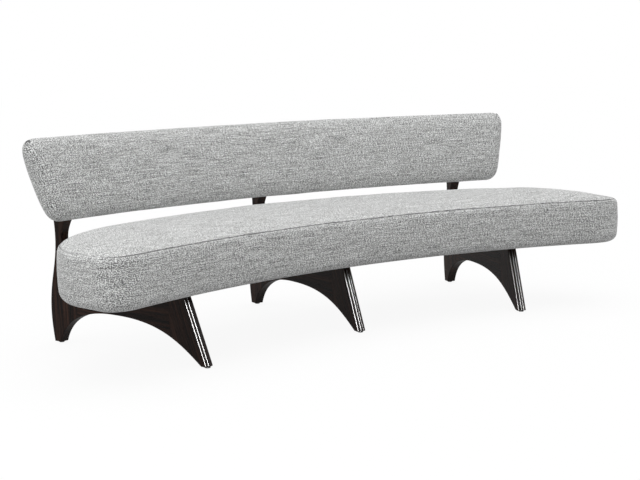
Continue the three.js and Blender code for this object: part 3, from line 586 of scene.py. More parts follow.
def rows_along_back(middle=220, ends=22, reach=0.0126, step=0.0012, room=0.0009):
    """Distances along the arc: even ones, closer ones over the round ends, and fine ones within
    reach of the corner gathers, with a little room on either side of them."""
    round_end = END_ROUNDING * 1.1 * (1 - np.cos(np.linspace(0, np.pi / 2, ends)))
    straight = np.linspace(-BACK_HALF + round_end[-1], BACK_HALF - round_end[-1], middle)
    fine = BACK_HALF - GATHER_INSET + np.arange(-reach, reach + 0.0001, step)
    along = np.concatenate([-BACK_HALF + round_end[:-1], straight, (BACK_HALF - round_end[:-1])[::-1]])
    clear = np.abs(np.abs(along) - BACK_HALF + GATHER_INSET) > reach + room
    return np.sort(np.concatenate([along[clear], -fine, fine]))


def turns_round_back(count=96, fewest_degrees=0.9):
    """Turns round the section: even ones, and fine ones beside the seams and at the gathers."""
    even = np.linspace(-np.pi, np.pi, count, endpoint=False)
    beside = np.radians([-2.4, -1.6, -0.8, 0, 0.8, 1.6, 2.4])
    seams = np.concatenate([REAR_SEAM_TURN + beside, np.pi - REAR_SEAM_TURN + beside])
    corner = GATHER_TURN + np.radians(np.arange(-18, 14, 0.6))
    close = np.concatenate([seams, corner])
    clear = np.abs(even[:, None] - close[None, :]).min(1) > np.radians(fewest_degrees)
    return np.sort(np.concatenate([even[clear], close]))


# %% Swell and skin of the backrest
def back_swell(points, outwards, turn_grid):
    """The swell of a cover held at its rear seam and by the spine."""
    from_rear = np.abs(turn_grid - np.pi / 2)
    on_seam = np.abs(from_rear - (np.pi / 2 - REAR_SEAM_TURN)) < np.radians(0.5)
    rows = spaced(points, CLOTH_STEP)
    columns = spaced(points.transpose(1, 0, 2), CLOTH_STEP, np.nonzero(on_seam[0])[0])
    return puff(points, outwards, rows, columns, on_seam | (from_rear < SPINE_TURN))


def back_piece():
    along, turn = rows_along_back(), turns_round_back()
    along_grid, turn_grid = np.meshgrid(along, turn, indexing="ij")
    up, out = back_section(along_grid, turn_grid)
    points = back_points(along_grid, up, out)
    outwards = grid_normals(points)
    middle_row = len(along) // 2
    if outwards[middle_row, np.argmin(np.abs(turn)), 2] < 0:
        outwards = -outwards
    middle_ring = points[middle_row]
    girth = np.linalg.norm(np.diff(middle_ring, axis=0, append=middle_ring[:1]), axis=1)
    girth = np.concatenate([[0], np.cumsum(girth)])
    points = points + outwards * (back_swell(points, outwards, turn_grid) - START_SMALLER)[..., None]
    points = points + outwards * hand_of_upholsterer(points, 9)[..., None]
    round_it = girth[:-1]
    rear, seam, gather = np.interp([np.pi / 2, REAR_SEAM_TURN, GATHER_TURN], turn, round_it)
    half_length = BACK_HALF - REAR_PANEL_INSET
    away = rounded_distance(along_grid, round_it - rear, half_length, rear - seam, REAR_PANEL_CORNER)
    seam_pull_and_shade = bell(away, SEAM_WIDTH) * (turn_grid > 0)
    aside = (np.abs(along) - BACK_HALF + GATHER_INSET)[:, None]
    push, pleat = corner_gather(*np.broadcast_arrays(aside, gather - round_it))
    points = points + outwards * (push - SEAM_DEPTH * seam_pull_and_shade)[..., None]
    cloth_map = np.stack(np.broadcast_arrays(along[:, None], girth[None, :]), -1)
    # the end caps are mapped flat, and the row where two maps meet is doubled
    flat = np.stack([out, up], -1)
    flat = np.concatenate([flat, flat[:, :1]], 1)
    cap = BACK_HALF - np.abs(along) < CAP_SHARE * END_ROUNDING
    first, last = np.argmin(cap), len(along) - np.argmin(cap[::-1])
    doubled = [first, last - 1]
    cloth_map = np.where(cap[:, None, None], flat, cloth_map)
    cloth_map = np.insert(cloth_map, [first, last], flat[doubled], 0)
    points = np.insert(points, [first, last], points[doubled], 0)
    # painted shade: the crescent pleat is darkened like the seam, as if shaded under its fold
    seam_pull_and_shade = np.maximum(seam_pull_and_shade, PLEAT_SHADE * pleat)
    seam_pull_and_shade = np.insert(seam_pull_and_shade, [first, last], seam_pull_and_shade[doubled], 0)
    piece = grid_piece("backrest_pillow", points, cloth_map)
    # the painted shade of the rear seam and the pleats is stored as the seam attribute
    store(piece, "seam", seam_pull_and_shade)
    return piece


backrest = back_piece()
close_and_turn_out(backrest)

# %% [markdown]
# ## The side frames
# Each frame is one flat board in outline, made of three pieces glued end to end: a raked front
# leg, a cross rail that is the crown of the arch, and a rear post. Cubic curves draw the arch
# and the rear edge. The outline is cut at the two glue joints, each piece is given the board's
# thickness, and a Bevel modifier rounds the edges except where pieces meet.

# %% Curves of the outline
def bezier(p0, p1, p2, p3, count=48):
    """(1-t)^3 p0 + 3(1-t)^2 t p1 + 3(1-t) t^2 p2 + t^3 p3, as reach and height."""
    t = np.linspace(0, 1, count)[:, None]
    p0, p1, p2, p3 = (np.array(p, float) for p in (p0, p1, p2, p3))
    return (1 - t) ** 3 * p0 + 3 * (1 - t) ** 2 * t * p1 + 3 * (1 - t) * t**2 * p2 + t**3 * p3


def front_face(height):
    """Reach of the raked front at a height."""
    return TOE + RAKE * height


TOE_HANDLE = (TOE + TOE_DEPTH + 0.103, 0.081)
CROWN_HANDLES = (CROWN - 0.195, CROWN_HEIGHT), (CROWN + 0.044, CROWN_HEIGHT)
HEEL_HANDLE = (HEEL - 0.046, 0.139)
EDGE_HANDLES = (HEEL + HEEL_DEPTH + 0.044, 0.225), (SHOULDER - 0.024, THROAT_HEIGHT - 0.182)
FRONT_ARCH = bezier((TOE + TOE_DEPTH, FOOT), TOE_HANDLE, CROWN_HANDLES[0], (CROWN, CROWN_HEIGHT))
REAR_ARCH = bezier((CROWN, CROWN_HEIGHT), CROWN_HANDLES[1], HEEL_HANDLE, (HEEL, FOOT))
REAR_EDGE = bezier((HEEL + HEEL_DEPTH, FOOT), *EDGE_HANDLES, (SHOULDER, THROAT_HEIGHT))
print("arch", round(1000 * (HEEL - TOE - TOE_DEPTH)), "mm wide,", round(1000 * CROWN_HEIGHT), "mm high")


def cut_at(curve, reach):
    """The two halves of a curve whose reach grows along it, with a point added at the cut."""
    height = np.interp(reach, curve[:, 0], curve[:, 1])
    cut = np.array([[reach, height]])
    before = curve[curve[:, 0] < reach - 1e-6]
    after = curve[curve[:, 0] > reach + 1e-6]
    return np.vstack([before, cut]), np.vstack([cut, after])


# %% [markdown]
# The post rises behind the seat, leans forward over its throat and lies against the backrest's
# rear face. That face is curved, and each frame meets it at its own angle, so the head's front is
# not drawn but worked out from the backrest's section, with room for the board's thickness.

# %% Where the post's head meets the backrest
def back_crossing(angle):
    """Reach and distance along the arc at which a frame's plane crosses the backrest's core."""
    centre = BACK_REACH - BACK_RADIUS
    half_b = -centre * math.cos(angle)
    reach = -half_b + math.sqrt(half_b**2 - centre**2 + BACK_RADIUS**2)
    return reach, BACK_RADIUS * math.asin(reach * math.sin(angle) / BACK_RADIUS)


def rear_face(angle, up):
    """Reach and height on the backrest's rear face, with room for the board's thickness."""
    reach, along = back_crossing(angle)
    skew = abs(angle - along / BACK_RADIUS)
    room = GAP + BOARD / 2 * math.tan(skew)
    share = abs(up) / (BACK_HEIGHT / 2)
    swell = (1 - share**BACK_ROUNDNESS) ** (1 / BACK_ROUNDNESS)
    out = BACK_THICKNESS / 2 * swell + room
    return np.array([
        reach + up * math.sin(BACK_LEAN) + out * math.cos(BACK_LEAN),
        BACK_MIDDLE + up * math.cos(BACK_LEAN) - out * math.sin(BACK_LEAN),
    ])


def head_meeting(angle, tries=240):
    """How far up the lean the post's front edge, leaning forward over its throat, meets the
    rear face: the first crossing, found on a fine scale."""
    ups = np.linspace(-0.5, 0.5, tries)[1:-1] * BACK_HEIGHT
    for up in ups:
        reach, height = rear_face(angle, up)
        if height > THROAT_HEIGHT and THROAT - THROAT_LEAN * (height - THROAT_HEIGHT) < reach:
            return up
    return 0.0


# %% [markdown]
# With the curves and the head at hand, the outlines are runs of points, cut at the glue joints
# with a hair of room between the pieces.

# %% Outlines of leg, rail and post
def post_outline(angle):
    """Up the front of the post, over its head, down its rear edge and back through the arch."""
    _, lower = cut_at(REAR_ARCH, POST_JOINT + GAP / 2)
    waist = (WAIST, WAIST_HEIGHT)
    elbow = ((RISE + WAIST) / 2, FRAME_TOP), (WAIST, (FRAME_TOP + WAIST_HEIGHT) / 2)
    rise = bezier((RISE, FRAME_TOP), *elbow, waist, count=24)
    third = (THROAT_HEIGHT - WAIST_HEIGHT) / 3
    lean = (WAIST, WAIST_HEIGHT + third), (THROAT + THROAT_LEAN * third, THROAT_HEIGHT - third)
    sweep = bezier(waist, *lean, (THROAT, THROAT_HEIGHT), count=12)
    low, high = head_meeting(angle), HEAD_RISE / math.cos(BACK_LEAN)
    head = np.array([rear_face(angle, up) for up in np.linspace(low, high, 10)])
    tip = head[-1]
    turn = np.linspace(np.pi, 0, 10)[1:-1]
    half = TIP_DEPTH / 2
    cap = np.stack([tip[0] + half * (1 + np.cos(turn)), tip[1] + half * np.sin(turn)], -1)
    middle = (tip[1] + THROAT_HEIGHT) / 2
    bow = (tip[0] + TIP_DEPTH, middle), (SHOULDER + NAPE_BOW, middle)
    nape = bezier((tip[0] + TIP_DEPTH, tip[1]), *bow, (SHOULDER, THROAT_HEIGHT), count=20)
    top_start = np.array([[POST_JOINT + GAP / 2, FRAME_TOP]])
    return np.vstack([top_start, rise, sweep[1:], head, cap, nape, REAR_EDGE[::-1][1:], lower[::-1]])


def leg_outline():
    arch, _ = cut_at(FRONT_ARCH, LEG_JOINT - GAP / 2)
    top = np.array([
        [LEG_JOINT - GAP / 2, FRAME_TOP],
        [front_face(FRAME_TOP), FRAME_TOP],
        [front_face(FOOT), FOOT],
    ])
    return np.vstack([arch, top])


def rail_outline():
    _, front = cut_at(FRONT_ARCH, LEG_JOINT + GAP / 2)
    rear, _ = cut_at(REAR_ARCH, POST_JOINT - GAP / 2)
    top = np.array([[POST_JOINT - GAP / 2, FRAME_TOP], [LEG_JOINT + GAP / 2, FRAME_TOP]])
    return np.vstack([front, rear[1:], top])


# %% [markdown]
# The board's mesh is two copies of the outline joined by a wall. Only the outline's own edges
# carry a bevel weight: the glue joints stay sharp and tight, so that each frame reads as one
# board whose grain changes direction.

# %% Board from an outline
def frame_place(angle, reach, height, offset):
    """Reach, height and offset to the side of a frame's plane, turned to the fan's angle."""
    return np.stack([
        reach * np.sin(angle) + offset * np.cos(angle),
        reach * np.cos(angle) - offset * np.sin(angle),
        np.broadcast_to(height, np.shape(reach)),
    ], -1) + FAN_POINT


def frame_coordinates(angle, points):
    """The inverse: reach, height and offset of points in the frame's plane."""
    x, y, z = (points - FAN_POINT).T
    return x * np.sin(angle) + y * np.cos(angle), z, x * np.cos(angle) - y * np.sin(angle)


def board_piece(name, angle, outline, sharp_front=False):
    """Both sides and the wall between them, with a Bevel modifier for the free edges."""
    count = len(outline)
    sides = [frame_place(angle, *outline.T, offset) for offset in (-BOARD / 2, BOARD / 2)]
    here = np.arange(count)
    after = (here + 1) % count
    walls = np.stack([here, after, after + count, here + count], -1)
    faces = [list(here[::-1]), list(here + count)] + walls.tolist()
    mesh = bpy.data.meshes.new(name)
    mesh.from_pydata(np.vstack(sides), [], faces)
    weight = mesh.attributes.new("bevel_weight_edge", "FLOAT", "EDGE")
    ends = np.empty(2 * len(mesh.edges), int)
    mesh.edges.foreach_get("vertices", ends)
    reach, height = outline[ends % count].reshape(-1, 2, 2).transpose(2, 0, 1)
    joint = np.zeros(len(mesh.edges), bool)
    for place in (LEG_JOINT, POST_JOINT):
        joint |= np.all(np.abs(reach - place) < GAP, axis=1)
    if sharp_front:
        joint |= np.all(np.abs(reach - front_face(height)) < GAP, axis=1)
    across = ends.reshape(-1, 2).min(1) + count == ends.reshape(-1, 2).max(1)
    weight.data.foreach_set("value", np.where(joint | across, 0.0, 1.0).astype(np.float32))
    piece = new_object(name, mesh)
    bevel = piece.modifiers.new("rounded edges", "BEVEL")
    bevel.width = EDGE_ROUNDING
    bevel.segments = 3
    bevel.limit_method = "WEIGHT"
    bevel.use_clamp_overlap = True
    return piece


# %% [markdown]
# The leg's front face carries three reeds, standing out of it side by side over the board's full
# thickness. They are a profile of three full lobes, carried straight up the raked face and drawn
# in at the toe, where each reed ends in a small round nose.

# %% Reeds of the front legs
NOSE_HEIGHTS = [0, 0.0008, 0.002, 0.004, 0.0045]
NOSE_SIZES = [0.6, 0.82, 0.94, 0.995]


def reed_profile(per_reed=18):
    """Stand-out and offset across the board: the outline of three circles side by side, the
    middle one a little in front of the others. Turns are the circles' own angles."""
    radius, step = REED_RADIUS, REED_STEP
    meet = math.hypot(step, REED_BACK) / 2
    swing = math.acos(meet / radius)
    tilt = math.atan2(REED_BACK, step)
    outer = np.linspace(np.pi, swing + tilt, per_reed)
    inner = np.linspace(np.pi - swing + tilt, swing - tilt, per_reed)
    offset = np.concatenate([-step + radius * np.cos(outer), radius * np.cos(inner)])
    stand = np.concatenate([radius * np.sin(outer) - REED_BACK, radius * np.sin(inner)])
    front = NOSE_DEPTH + NOSE_OVER - radius
    mirror = slice(per_reed - 1, None, -1)
    return np.concatenate([stand, stand[mirror]]) + front, np.concatenate([offset, -offset[mirror]])


def reed_piece(name, angle):
    """Rings of the profile up the raked face, with a flat back that stands inside the leg."""
    stand, offset = reed_profile()
    stand = np.concatenate([stand, [-2 * EDGE_ROUNDING, -2 * EDGE_ROUNDING]])
    offset = np.concatenate([offset, [offset[-1], offset[0]]])
    heights = np.concatenate([FOOT + np.array(NOSE_HEIGHTS), np.linspace(0.03, FRAME_TOP, 9)])
    sizes = np.append(NOSE_SIZES, np.ones(len(heights) - len(NOSE_SIZES)))
    rings = [
        frame_place(angle, front_face(height) - np.where(stand > 0, stand * size, stand), height, offset)
        for height, size in zip(heights, sizes)
    ]
    count, last = len(offset), (len(heights) - 1) * len(offset)
    caps = [list(range(count))[::-1], list(range(last, last + count))]
    mesh = bpy.data.meshes.new(name)
    quads = quads_round(len(heights), count)[2]
    mesh.from_pydata(np.array(rings).reshape(-1, 3), [], quads.tolist() + caps)
    return new_object(name, mesh)


# %% [markdown]
# Bolts enter the wood through counterbores. Each bolt of the frame tells where its own hole is:
# its middle lies on the axis, and its far end is the head's face. A Boolean modifier takes the
# holes out, and another one joins the reeds to their leg.

# %% Holes for the bolts
def cylinder(name, start, end, radius, sides=40):
    """A closed cylinder between two points."""
    axis = Vector(end) - Vector(start)
    work = bmesh.new()
    turn = axis.to_track_quat("Z", "Y").to_matrix().to_4x4()
    place = Matrix.Translation((Vector(start) + Vector(end)) / 2) @ turn
    bmesh.ops.create_cone(
        work, cap_ends=True, segments=sides, radius1=radius, radius2=radius, depth=axis.length, matrix=place
    )
    mesh = bpy.data.meshes.new(name)
    work.to_mesh(mesh)
    work.free()
    return new_object(name, mesh)


def axis_of(node, direction):
    """The two ends of a turned node along a direction, and the direction at length 1. The axis
    goes through the middle of the node's box."""
    direction = np.array(direction) / np.linalg.norm(direction)
    points = points_of(frame["nodes"][node].data)
    middle = (points.min(0) + points.max(0)) / 2
    depths = (points - middle) @ direction
    return middle + direction * depths.min(), middle + direction * depths.max(), direction


def counterbore(node, outwards, length):
    """A cutter from the bolt's head outwards, along the bolt's own axis."""
    _, face, outwards = axis_of(node, outwards)
    return cylinder("cutter", face - outwards * BOLT_HEAD, face + outwards * length, BORE_RADIUS)


def bake_modifiers(piece, tools, operation="DIFFERENCE"):
    """The tools are taken off the piece or joined to it, and the result becomes its mesh."""
    for tool in tools:
        boolean = piece.modifiers.new("tool", "BOOLEAN")
        boolean.operation = operation
        boolean.solver = "EXACT"
        boolean.object = tool
    depsgraph = bpy.context.evaluated_depsgraph_get()
    mesh = bpy.data.meshes.new_from_object(piece.evaluated_get(depsgraph))
    piece.modifiers.clear()
    piece.data = mesh
    mesh.name = piece.name
    for tool in tools:
        bpy.data.objects.remove(tool)


# %% [markdown]
# Once a piece's modifiers are applied, every point learns where it lies in the wood: along the
# grain, across it, and through the board. The grain runs up the leg with its rake, level along
# the rail and upright in the post.

# %% Grain and shading
def mark_grain(piece, angle, direction):
    """Stores each point's place along the grain, across it and through the board. Points in
    front of the legs' front plane lie on the reeds, which are polished."""
    reach, height, offset = frame_coordinates(angle, points_of(piece.data))
    along = reach * math.cos(direction) + height * math.sin(direction)
    across = -reach * math.sin(direction) + height * math.cos(direction)
    grain = piece.data.attributes.new("grain", "FLOAT_VECTOR", "POINT")
    grain.data.foreach_set("vector", np.stack([along, across, offset], -1).astype(np.float32).ravel())
    store(piece, "polish", reach < front_face(height) - 0.0004)


def weighted_normals(piece):
    """Smooth shading in which the large flat faces keep their own direction."""
    shade_smooth(piece.data)
    piece.data.set_sharp_from_angle(angle=math.radians(42))
    modifier = piece.modifiers.new("weighted normals", "WEIGHTED_NORMAL")
    modifier.mode = "FACE_AREA"
    modifier.weight = 100
    modifier.keep_sharp = True


# %% [markdown]
# All three frames are made alike. Only the angle of the fan differs, and with it the height at
# which the post meets the curved backrest.

# %% Nine boards
def back_bolt_direction(angle):
    """Square to the lean of the backrest, to the rear, in the frame's plane."""
    return (
        math.cos(BACK_LEAN) * math.sin(angle),
        math.cos(BACK_LEAN) * math.cos(angle),
        -math.sin(BACK_LEAN),
    )


wooden = []
for side, angle in SIDES.items():
    leg = board_piece(f"{side}_leg_board", angle, leg_outline(), sharp_front=True)
    reeds = reed_piece(f"{side}_reeds", angle)
    rail = board_piece(f"{side}_rail_board", angle, rail_outline())
    post = board_piece(f"{side}_post_board", angle, post_outline(angle))
    seat_bolts = [f"{side}_seat_bolt_{place}" for place in ("front", "rear")]
    seat_holes = [counterbore(bolt, (0, 0, -1), length=0.06) for bolt in seat_bolts]
    back_bolts = [f"{side}_back_bolt_{place}" for place in ("low", "high")]
    back_holes = [counterbore(bolt, back_bolt_direction(angle), length=0.04) for bolt in back_bolts]
    bake_modifiers(leg, [reeds], "UNION")
    bake_modifiers(rail, seat_holes)
    bake_modifiers(post, back_holes)
    for piece, direction, node in (
        (leg, math.atan2(1, RAKE), "front_leg"),
        (rail, 0.0, "cross_rail"),
        (post, math.pi / 2, "rear_post"),
    ):
        close_and_turn_out(piece, 1e-6)
        mark_grain(piece, angle, direction)
        weighted_normals(piece)
        wooden.append((piece, f"{side}_{node}"))
print(len(wooden), "wooden pieces")

# %% [markdown]
# ## Bolts and glides
# Bolt heads sit at the bottom of their counterbores and glides under the feet. Both are turned:
# a profile of radius and depth goes round an axis. A bolt's socket is a hexagon, which is a
# circle whose radius changes with the angle.

# %% Turned pieces
def turned_piece(name, start, axis, radius, depth, flats, segments=48):
    """Rings of a radius at a depth along the axis; where flats is 1, the ring is a hexagon with
    that radius to its flats: radius / cos(angle within its sixth)."""
    turn = np.linspace(0, 2 * np.pi, segments, endpoint=False)
    sixth = (turn + np.pi / 6) % (np.pi / 3) - np.pi / 6
    hexagon = 1 / np.cos(sixth)
    radius, depth, flats = (np.asarray(v, float)[:, None] for v in (radius, depth, flats))
    reach = radius * (1 - flats + flats * hexagon)
    axis = np.asarray(axis, float) / np.linalg.norm(axis)
    side = np.cross(axis, [1.0, 0.3, 0.2])
    side /= np.linalg.norm(side)
    other = np.cross(axis, side)
    points = (
        np.asarray(start)
        + axis * depth[..., None]
        + side * (reach * np.cos(turn))[..., None]
        + other * (reach * np.sin(turn))[..., None]
    )
    piece = grid_piece(name, points, np.zeros((len(radius), segments + 1, 2)))
    close_and_turn_out(piece, 1e-6)
    weighted_normals(piece)
    return piece


def bolt_piece(node, into):
    """Socket floor, socket wall, rounded head, shank and its chamfered end."""
    start, end, into = axis_of(node, into)
    length = (end - start) @ into
    radius = [0, 2.5, 2.5, 2.8, 6.9, 7.7, 8.0, 8.0, 4.0, 4.0, 3.4, 0]
    depth = [3.2, 3.2, 0.3, 0.0, 0.0, 0.25, 0.9, 5.0, 5.0]
    flats = [0, 1, 1, 1, 0, 0, 0, 0, 0, 0, 0, 0]
    depth = np.append(np.array(depth) / 1000, [length - 0.0006, length, length])
    return turned_piece(f"{node}_turned", start, into, np.array(radius) / 1000, depth, flats)


def glide_piece(node):
    """Sole with a rounded rim, and a stem that goes up into the foot."""
    start, _, upwards = axis_of(node, (0, 0, 1))
    radius = np.array([0, 7.6, 8.7, 9.3, 9.5, 9.5, 9.2, 3.5, 3.5, 0]) / 1000
    depth = np.array([0, 0, 0.3, 0.9, 1.8, 4.0, 4.5, 4.5, 26.0, 26.5]) / 1000
    return turned_piece(f"{node}_turned", start, upwards, radius, depth, np.zeros(10))


hardware = []
for side, angle in SIDES.items():
    for place in ("front", "rear"):
        bolt, glide = f"{side}_seat_bolt_{place}", f"{side}_{place}_glide"
        hardware.append((bolt_piece(bolt, (0, 0, 1)), bolt, "steel"))
        hardware.append((glide_piece(glide), glide, "black_plastic"))
    into = tuple(-value for value in back_bolt_direction(angle))
    for place in ("low", "high"):
        bolt = f"{side}_back_bolt_{place}"
        hardware.append((bolt_piece(bolt, into), bolt, "steel"))
print(len(hardware), "bolts and glides")

# %% [markdown]
# ## Dust cover
# A thin black cloth is stapled under the seat. It is stretched, but it hangs a few millimetres
# where nothing carries it, between the side frames.

# %% Stretched cloth under the seat
dust_low, dust_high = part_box("seat_dust_cover")


def dust_piece(edge=0.0452, sag=0.0032):
    """Rings of the seat's plan from the stapled edge inwards. The cloth hangs by
    sag sin^2(pi angle / fan) times a smooth step from the edge."""
    inset = np.concatenate([[edge, edge + 0.004], np.linspace(edge + 0.015, SEAT_DEPTH / 2, 26)])
    across, behind = seat_rings(inset, counts=(120, 12, 8, 24))
    points = seat_points(across, behind, np.full(across.shape, dust_high.z - 0.0002))
    angle = np.arctan2(points[..., 0] - FAN_POINT[0], points[..., 1] - FAN_POINT[1])
    free = smooth_step((inset - edge) / 0.08)[:, None]
    points[..., 2] -= sag * np.sin(np.pi * angle / FAN) ** 2 * free
    cloth_map = np.concatenate([points, points[:, :1]], 1)[..., :2]
    piece = grid_piece("dust_cloth_sheet", points, cloth_map)
    close_and_turn_out(piece)
    area = sum(face.area for face in piece.data.polygons)
    thickness = piece.modifiers.new("cloth thickness", "SOLIDIFY")
    thickness.thickness = 0.0004
    return piece, area


dust_sheet, dust_area = dust_piece()
print("dust cover", round(dust_area, 3), "square metres")

# %% [markdown]
# ## Finishes
# A finish is a small program of nodes. To keep it readable, one class wraps a socket so that
# Python's own signs add Math nodes.

# %% Shader arithmetic
class Wire:
    """A socket that carries a number or colour; signs between wires add Math nodes."""

    def __init__(self, finish, socket):
        self.finish = finish
        self.socket = socket

    def _math(self, operation, first, second):
        return self.finish.node("ShaderNodeMath", {"operation": operation}, {0: first, 1: second})

    def __add__(self, other):
        return self._math("ADD", self, other)

    __radd__ = __add__

    def __sub__(self, other):
        return self._math("SUBTRACT", self, other)

    def __rsub__(self, other):
        return self._math("SUBTRACT", other, self)

    def __mul__(self, other):
        return self._math("MULTIPLY", self, other)

    __rmul__ = __mul__


# %% [markdown]
# A second class holds the material. One method adds any node that isn't arithmetic, and a few
# short ones use it for what every finish needs.

# %% Materials
class Finish:
    """A material with one Principled shader, and the one method that adds any node to it."""

    def __init__(self, name, **constants):
        self.material = bpy.data.materials.new(name)
        self.material.use_nodes = True
        self.tree = self.material.node_tree
        self.shader = self.tree.nodes["Principled BSDF"]
        for socket, value in constants.items():
            self.shader.inputs[socket.replace("_", " ")].default_value = value

    def node(self, kind, settings=None, sockets=None, output=0):
        made = self.tree.nodes.new(kind)
        for key, value in (settings or {}).items():
            setattr(made, key, value)
        for key, value in (sockets or {}).items():
            if isinstance(value, Wire):
                self.tree.links.new(value.socket, made.inputs[key])
            else:
                made.inputs[key].default_value = value
        return Wire(self, made.outputs[output])

    def stored(self, name, output=2):
        """An attribute of the mesh: a number, or with output 1 a vector."""
        return self.node("ShaderNodeAttribute", {"attribute_name": name}, output=output)

    def mix(self, factor, first, second):
        """Two colours, mixed by factor."""
        sockets = {0: factor, 6: first, 7: second}
        return self.node("ShaderNodeMix", {"data_type": "RGBA"}, sockets, output=2)

    def noise(self, place, scale, detail=2.0, roughness=0.5):
        """Noise stretched by a scale for each direction."""
        stretched = self.node("ShaderNodeVectorMath", {"operation": "MULTIPLY"}, {0: place, 1: scale})
        sockets = {"Vector": stretched, "Scale": 1.0, "Detail": detail, "Roughness": roughness}
        return self.node("ShaderNodeTexNoise", {}, sockets)

    def between(self, value, low, high):
        """0 at low, 1 at high, clamped and smooth."""
        sockets = {"Value": value, "From Min": low, "From Max": high}
        return self.node("ShaderNodeMapRange", {"interpolation_type": "SMOOTHSTEP"}, sockets)

    def clamp(self, value):
        """Kept between 0 and 1."""
        return self.node("ShaderNodeClamp", {}, {"Value": value})

    def feed(self, socket, wire):
        """A wire goes into one of the shader's own sockets."""
        self.tree.links.new(wire.socket, self.shader.inputs[socket])

    def bump(self, height, distance, strength):
        """A height field that turns the surface's normal."""
        sockets = {"Height": height, "Distance": distance, "Strength": strength}
        self.feed("Normal", self.node("ShaderNodeBump", {}, sockets))


def dye(r, g, b):
    """A colour given as it looks on a screen, 0 to 255, turned into the shader's linear values."""
    linear = [(v / 255) / 12.92 if v <= 10 else ((v / 255 + 0.055) / 1.055) ** 2.4 for v in (r, g, b)]
    return (*linear, 1.0)


# %% [markdown]
# ### Grey slubby weave
# The cloth is woven from heathered yarns, light and mid grey, thick and thin. Seen from a few
# steps away it is a strong fine speckle over faint streaks, long ones along the weft and shorter
# ones along the warp. Three noises on the cloth's own map make that, each stretched its own way,
# and a large one adds a faint cloud. Speckle, weft and a still finer yarn also push the surface
# in and out. The seam grooves and the pleats at the backrest's corners get a painted shade: a dark
# grey mixed in where the speckle lets it through.

# %% Weave finish
def weave_finish():
    sheen = dict(Sheen_Weight=0.35, Sheen_Roughness=0.5)
    finish = Finish("grey slub weave", Roughness=0.95, Specular_IOR_Level=0.06, **sheen)
    place = finish.node("ShaderNodeUVMap", {"uv_map": "cloth"})
    seam = finish.stored("seam")
    weft = finish.noise(place, (9, 290, 1), 1, 0.6)
    warp = finish.noise(place, (270, 40, 1), 1, 0.6)
    fleck = finish.noise(place, (300, 370, 1), 1, 0.6)
    cloud = finish.noise(place, (12, 24, 1), 2)
    tone = 0.5 + (weft - 0.5) * 1.6 + (warp - 0.5) * 1.8 + (fleck - 0.5) * 6.8 + (cloud - 0.5) * 0.2
    colour = finish.mix(finish.clamp(tone), dye(78, 78, 78), dye(252, 253, 252))
    # painted shade: the seam attribute mixes dark grey into the seam grooves and corner pleats
    shade = finish.mix(finish.clamp(seam * (fleck * 3.0 - 0.8)), colour, dye(58, 58, 59))
    finish.feed("Base Color", shade)
    yarn = finish.noise(place, (620, 620, 1), 2)
    finish.bump(fleck * 0.4 + weft * 0.4 + yarn * 0.3, 0.0004, 0.4)
    return finish


weave = weave_finish()

# %% [markdown]
# ### Near-black wood
# The wood is stained almost black, with a little red left in it. The shine is all in a thin coat
# of lacquer over a base without any, and the reeds are polished more than the flat sides. Pores
# stay open: fine dark lines along the grain that break up the reflection.

# %% Wood finish
def dark_wood_finish():
    finish = Finish("espresso wood", Specular_IOR_Level=0.0, Coat_Roughness=0.2)
    place = finish.stored("grain", output=1)
    bend = finish.noise(place, (2.5, 9, 9), 2)
    bent = {0: bend, 1: (0.0, 0.035, 0.02), 2: place}
    ring_place = finish.node("ShaderNodeVectorMath", {"operation": "MULTIPLY_ADD"}, bent)
    figure = finish.noise(ring_place, (1.8, 30, 12), 3, 0.6)
    fibre = finish.noise(ring_place, (5, 170, 90), 3, 0.65)
    pores = finish.noise(place, (40, 900, 500), 2, 0.6)
    line = finish.between(pores, 0.56, 0.7)
    tone = finish.clamp(0.35 + (figure - 0.5) * 1.7 + (fibre - 0.5) * 2.2)
    colour = finish.mix(tone, dye(10, 6, 5), dye(70, 46, 36))
    colour = finish.mix(line * 0.6, colour, dye(8, 5, 5))
    finish.feed("Base Color", colour)
    finish.feed("Roughness", 0.17 + line * 0.3 + (fibre - 0.5) * 0.15)
    finish.feed("Coat Weight", 0.2 - line * 0.15 + finish.stored("polish") * 0.26)
    finish.bump(fibre * 0.3 - line, 0.00012, 0.5)
    return finish


dark_wood = dark_wood_finish()

# %% [markdown]
# ### Finishes inside
# Pieces inside and below are seen seldom. One plain finish serves them all: two tones mixed by a
# noise on the piece's own place, stretched along the grain for timber and even for foam.

# %% Plain finishes
def plain_finish(name, light, dark, stretch, roughness, metallic=0.0, bump=0.0002):
    """Two tones mixed by a stretched noise on the object's place."""
    finish = Finish(name, Metallic=metallic)
    place = finish.node("ShaderNodeTexCoord", {}, output=3)
    tone = finish.noise(place, stretch, 4, 0.6)
    finish.feed("Base Color", finish.mix(finish.between(tone, 0.3, 0.7), dye(*dark), dye(*light)))
    finish.feed("Roughness", roughness + (tone - 0.5) * 0.3)
    finish.bump(tone, bump, 0.5)
    return finish


